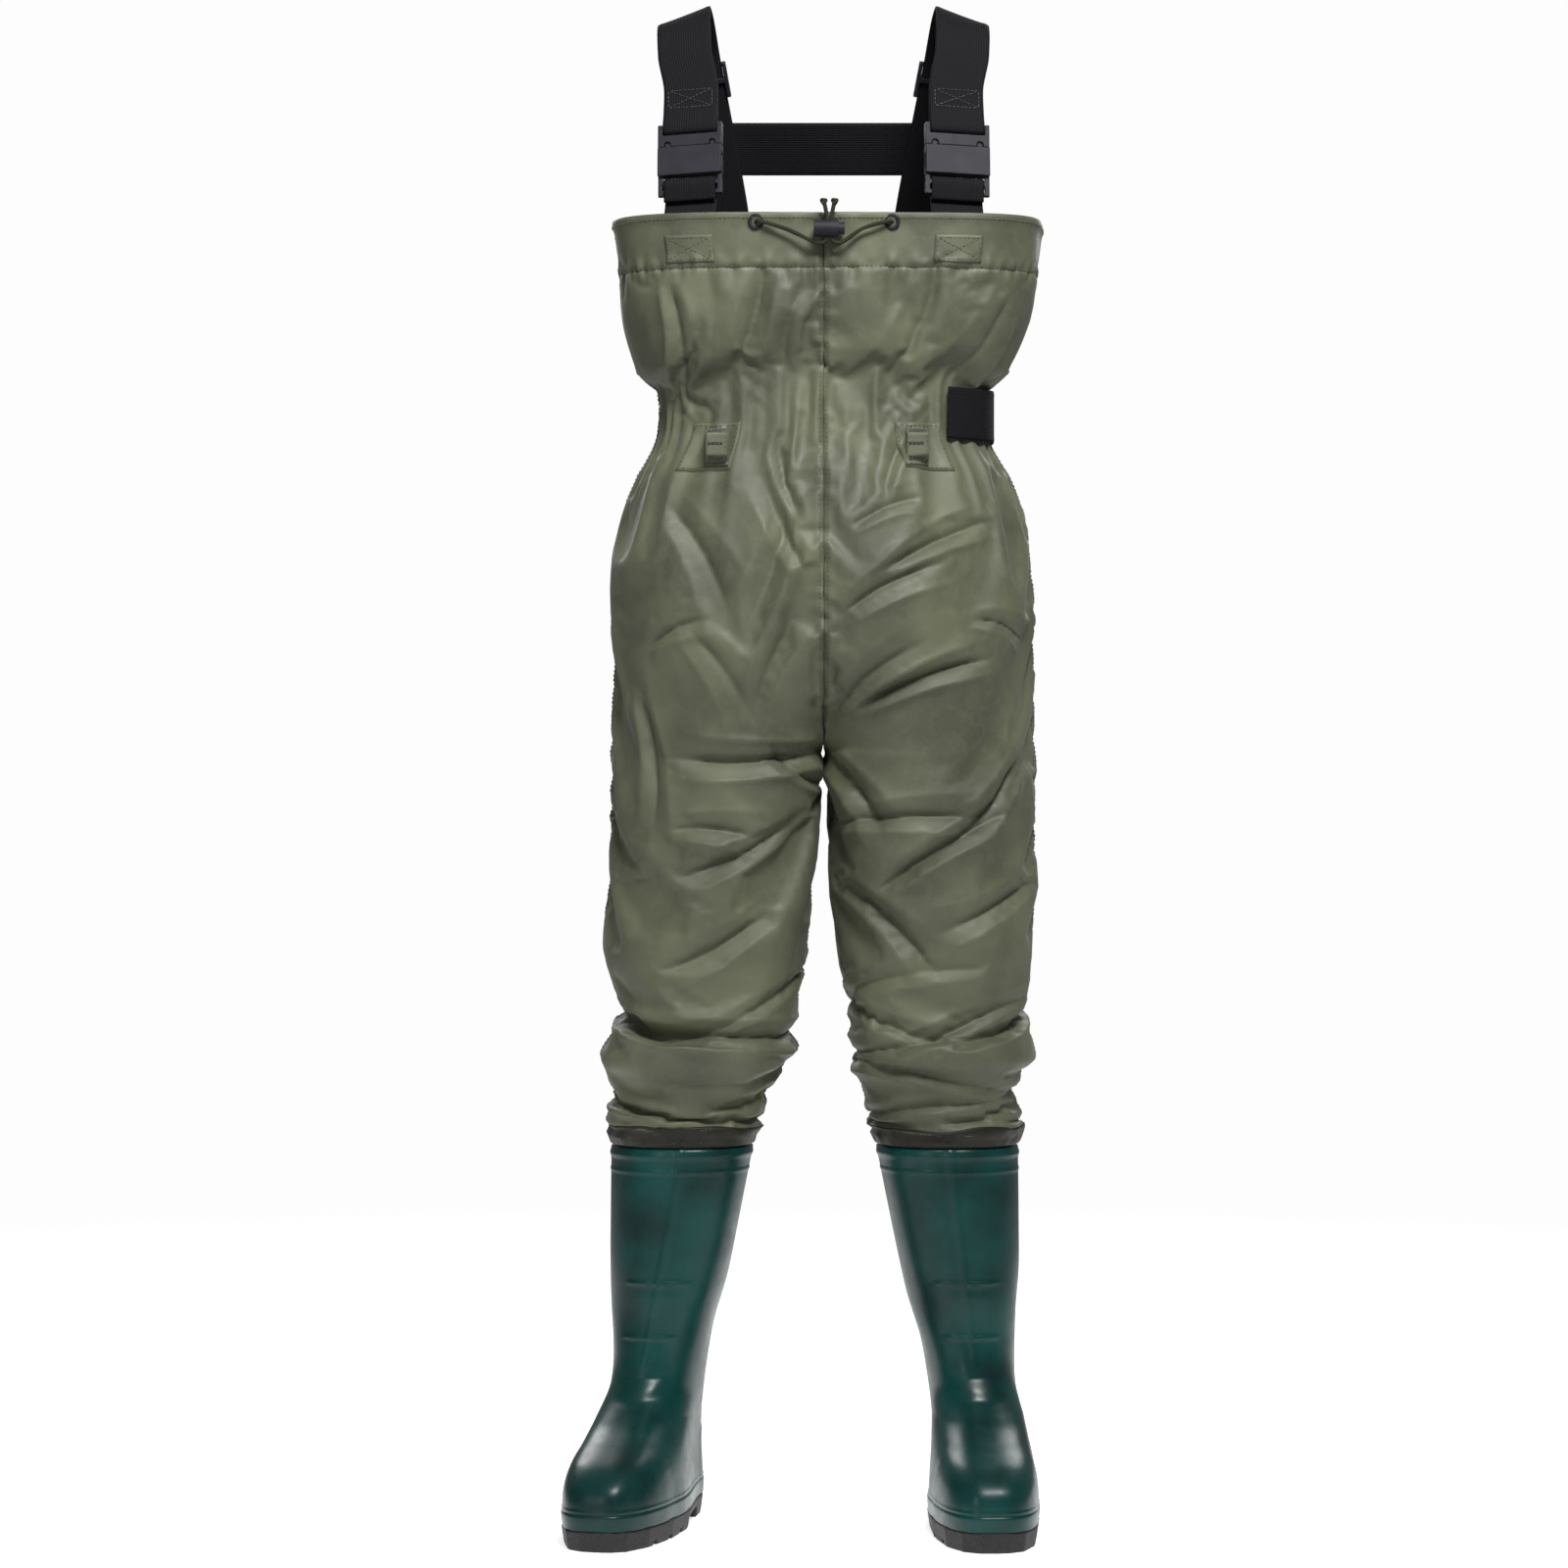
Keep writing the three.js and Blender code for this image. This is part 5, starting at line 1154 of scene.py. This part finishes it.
def tube(path, radius, sides=12, twist=0.0, relief=0.0, plies=4):
    """A cord's skin along a path, with plies that stand out and spiral round it."""
    path = np.asarray(path)
    tangent = unit(np.gradient(path, axis=0))
    normal = unit(np.cross(tangent[0], np.array([0.3, 0.2, 1.0])))
    points, uvs, run = [], [], 0.0
    for k in range(len(path)):
        normal = unit(normal - np.dot(normal, tangent[k]) * tangent[k])
        aside = np.cross(tangent[k], normal)
        if k:
            run += np.linalg.norm(path[k] - path[k - 1])
        for i in range(sides):
            a = 2 * math.pi * i / sides
            r = radius * (1 + relief * math.cos(plies * (a + twist * run / MM)))
            points.append(path[k] + (normal * math.cos(a) + aside * math.sin(a)) * r)
            uvs.append((i / sides * 2 * math.pi * radius / MM, run / MM))
    faces = grid_faces(len(path), sides, closed=True)
    faces.append(tuple(range(sides)))
    faces.append(tuple((len(path) - 1) * sides + i for i in range(sides))[::-1])
    return points, faces, uvs


CORD_RADIUS = 2 * MM
LOCK_LOW, LOCK_HIGH = low("cord_lock_barrel"), high("cord_lock_barrel")
LOCK = (LOCK_LOW + LOCK_HIGH) / 2
LOCK_RADIUS = (LOCK_HIGH[2] - LOCK_LOW[2]) / 2
CORD_X, CORD_SPREAD = 3 * MM, 2.35 * MM
EYELETS = {}
for name, side in SIDES:
    node_name = f"eyelet_{name}"
    centre = (low(node_name) + high(node_name)) / 2
    probe = np.linspace(0, 0.5, 300)
    line = garment_surface(side, probe, np.full(300, centre[2]))
    u = float(np.interp(side * (centre[0] - CENTRE_X), side * (line[:, 0] - CENTRE_X), probe))
    point, out = cloth_grid(side, np.array([u]), np.array([centre[2]]))
    point, out = point[0, 0], unit(out[0, 0])
    EYELETS[side] = (point, out, u)
    first = unit(np.cross(out, np.array([0, 0, 1.0])))
    second = np.cross(out, first)
    profile = [(4.6, -2.5), (5.4, -2.5), (5.6, 0.2), (7.6, 0.3), (8.0, 0.7), (7.7, 1.3), (6.4, 1.7), (5.2, 1.5),
               (4.6, 0.9)]
    ring = [[point + (first * math.cos(a) + second * math.sin(a)) * r * MM + out * d * MM
             for a in np.linspace(0, 2 * math.pi, 41)[:-1]] for r, d in profile + profile[:1]]
    faces = grid_faces(len(profile) + 1, 40, closed=True)
    flat = [p for row in ring[:-1] for p in row]
    faces = [tuple(i % len(flat) for i in f) for f in faces]
    eyelet = make_mesh(f"{node_name}_ring", flat, faces, ACETAL)
    place(eyelet, "waders", "buckle_plastic", node_name)


def cord_path():
    """The drawcord: knotted end, through the lock, out to an eyelet, round inside the hem and back."""
    halves = {}
    for side in (1, -1):
        point, out, u = EYELETS[side]
        x = LOCK[0] + CORD_X + side * CORD_SPREAD
        front = LOCK[1]
        halves[side] = [
            (x + side * 3.0 * MM, front - 1.0 * MM, LOCK[2] + LOCK_RADIUS + 18.5 * MM),
            (x + side * 0.8 * MM, front, LOCK[2] + LOCK_RADIUS + 8 * MM), (x, front, LOCK[2] + LOCK_RADIUS),
            (x, front, LOCK[2] - LOCK_RADIUS),
            (x + side * 1.5 * MM, front, LOCK[2] - LOCK_RADIUS - 4.5 * MM),
            (x + side * 8 * MM, front + 1.5 * MM, LOCK[2] - LOCK_RADIUS - 5.5 * MM),
            (CENTRE_X + side * 38 * MM, CENTRE_Y - 132 * MM, point[2] - 7.5 * MM),
            tuple(point + out * 5 * MM + np.array([-side * 4.0, 0, 0]) * MM), tuple(point - out * 0.5 * MM),
            tuple(point - out * 5 * MM + np.array([side * 3.0, 0, 0]) * MM),
        ]
    z = EYELETS[1][0][2]
    left, _ = cloth_grid(1, np.linspace(EYELETS[1][2] + 0.035, 1, 60), np.array([z]), -5.4 * MM)
    right, _ = cloth_grid(-1, np.linspace(1, EYELETS[-1][2] + 0.035, 60), np.array([z]), -5.4 * MM)
    return smooth_path([*halves[1], *left[0], *right[0][1:], *halves[-1][::-1]], 1.6)


points, faces, uvs = tube(cord_path(), CORD_RADIUS, 12, 0.9, 0.07)
cord = make_mesh("drawcord_braid", points, faces, BRAID, uvs)
place(cord, "waders", "cord", "drawcord")
for name, side in SIDES:
    # Overhand knots at the cord's ends.
    knot_centre = np.array([LOCK[0] + CORD_X + side * (CORD_SPREAD + 3.0 * MM), LOCK[1] - 1 * MM,
                            LOCK[2] + LOCK_RADIUS + 17.5 * MM])
    turns = np.linspace(0, 2 * math.pi, 60)
    trefoil = [knot_centre + np.array([(math.sin(t) + 2 * math.sin(2 * t)) * 0.85,
                                       -math.sin(3 * t) * 1.0,
                                       (math.cos(t) - 2 * math.cos(2 * t)) * 0.85]) * MM for t in turns]
    points, faces, uvs = tube(trefoil, 1.5 * MM, 10, 0.9, 0.07)
    knot = make_mesh(f"drawcord_knot_{name}", points, faces, BRAID, uvs)
    place(knot, "waders", "cord")
spring = frame["nodes"]["cord_lock_spring"]
spring.data.materials.clear()
spring.data.materials.append(WIRE)

# ---------------------------------------------------------------- floor, light and backdrop

# A square sheet of pale paper that thins out in a circle into the white background, so that every side is seen
# against the same one.
PAPER_RADIUS = 3.4
floor_mesh = bpy.data.meshes.new("floor")
floor_mesh.from_pydata(
    [(x * PAPER_RADIUS, y * PAPER_RADIUS, 0) for x, y in ((-1, -1), (1, -1), (1, 1), (-1, 1))], [], [(0, 1, 2, 3)]
)
floor = bpy.data.objects.new("floor", floor_mesh)
bpy.context.scene.collection.objects.link(floor)
PAPER, paper_tree, paper_shader = finish_of("floor_paper", Roughness=0.9)
paper_shader.inputs["Base Color"].default_value = linear("fafaf9")
paper_shader.inputs["Emission Color"].default_value = linear("ffffff")
paper_shader.inputs["Emission Strength"].default_value = 0.6
where = node(paper_tree, "ShaderNodeTexCoord", out="Object")
reach = node(paper_tree, "ShaderNodeVectorMath", {"operation": "LENGTH"}, "Value", Vector=where)
paper_share = node(
    paper_tree,
    "ShaderNodeMapRange",
    {"interpolation_type": "SMOOTHSTEP", "From Min": 0.6, "From Max": PAPER_RADIUS, "To Min": 1.0, "To Max": 0.0},
    Value=reach,
)
feed(paper_tree, paper_shader, Alpha=paper_share)
floor_mesh.materials.append(PAPER)


def softbox(name, location, aim, size, watts, spread=math.pi):
    """A rectangular lamp that points at a place. A smaller spread narrows its beam."""
    data = bpy.data.lights.new(name, "AREA")
    data.shape = "RECTANGLE"
    data.size, data.size_y = size
    data.energy = watts
    data.spread = spread
    lamp = bpy.data.objects.new(name, data)
    lamp.location = location
    lamp.rotation_euler = (Vector(aim) - Vector(location)).to_track_quat("-Z", "Y").to_euler()
    bpy.context.scene.collection.objects.link(lamp)


# A grid over the key keeps it on the bib and lets the legs and boots fall darker.
softbox("key_softbox", (0.45, -1.9, 3.0), (0, 0, 1.45), (0.9, 0.9), 27, 1.35)
softbox("side_softbox", (-1.7, -3.0, 1.3), (0, 0, 0.7), (0.3, 1.8), 12)
softbox("rim_softbox", (1.3, 2.8, 2.4), (0, 0, 0.9), (1.0, 1.6), 40)
softbox("back_softbox", (-1.3, 2.8, 2.4), (0, 0, 0.9), (1.0, 1.6), 40)
# The studio is seen white, and its walls give only a dim fill.
WALL_SEEN = 1.0
WALL_FILL = 0.16
world = bpy.data.worlds.new("studio")
world.use_nodes = True
studio = world.node_tree
background = studio.nodes["Background"]
background.inputs["Color"].default_value = linear("fdfdfd")
seen = node(studio, "ShaderNodeLightPath", out="Is Camera Ray")
glow = node(studio, "ShaderNodeMapRange", {"To Min": WALL_FILL, "To Max": WALL_SEEN}, Value=seen)
feed(studio, background, Strength=glow)
bpy.context.scene.world = world
bpy.context.scene.view_settings.view_transform = "Standard"

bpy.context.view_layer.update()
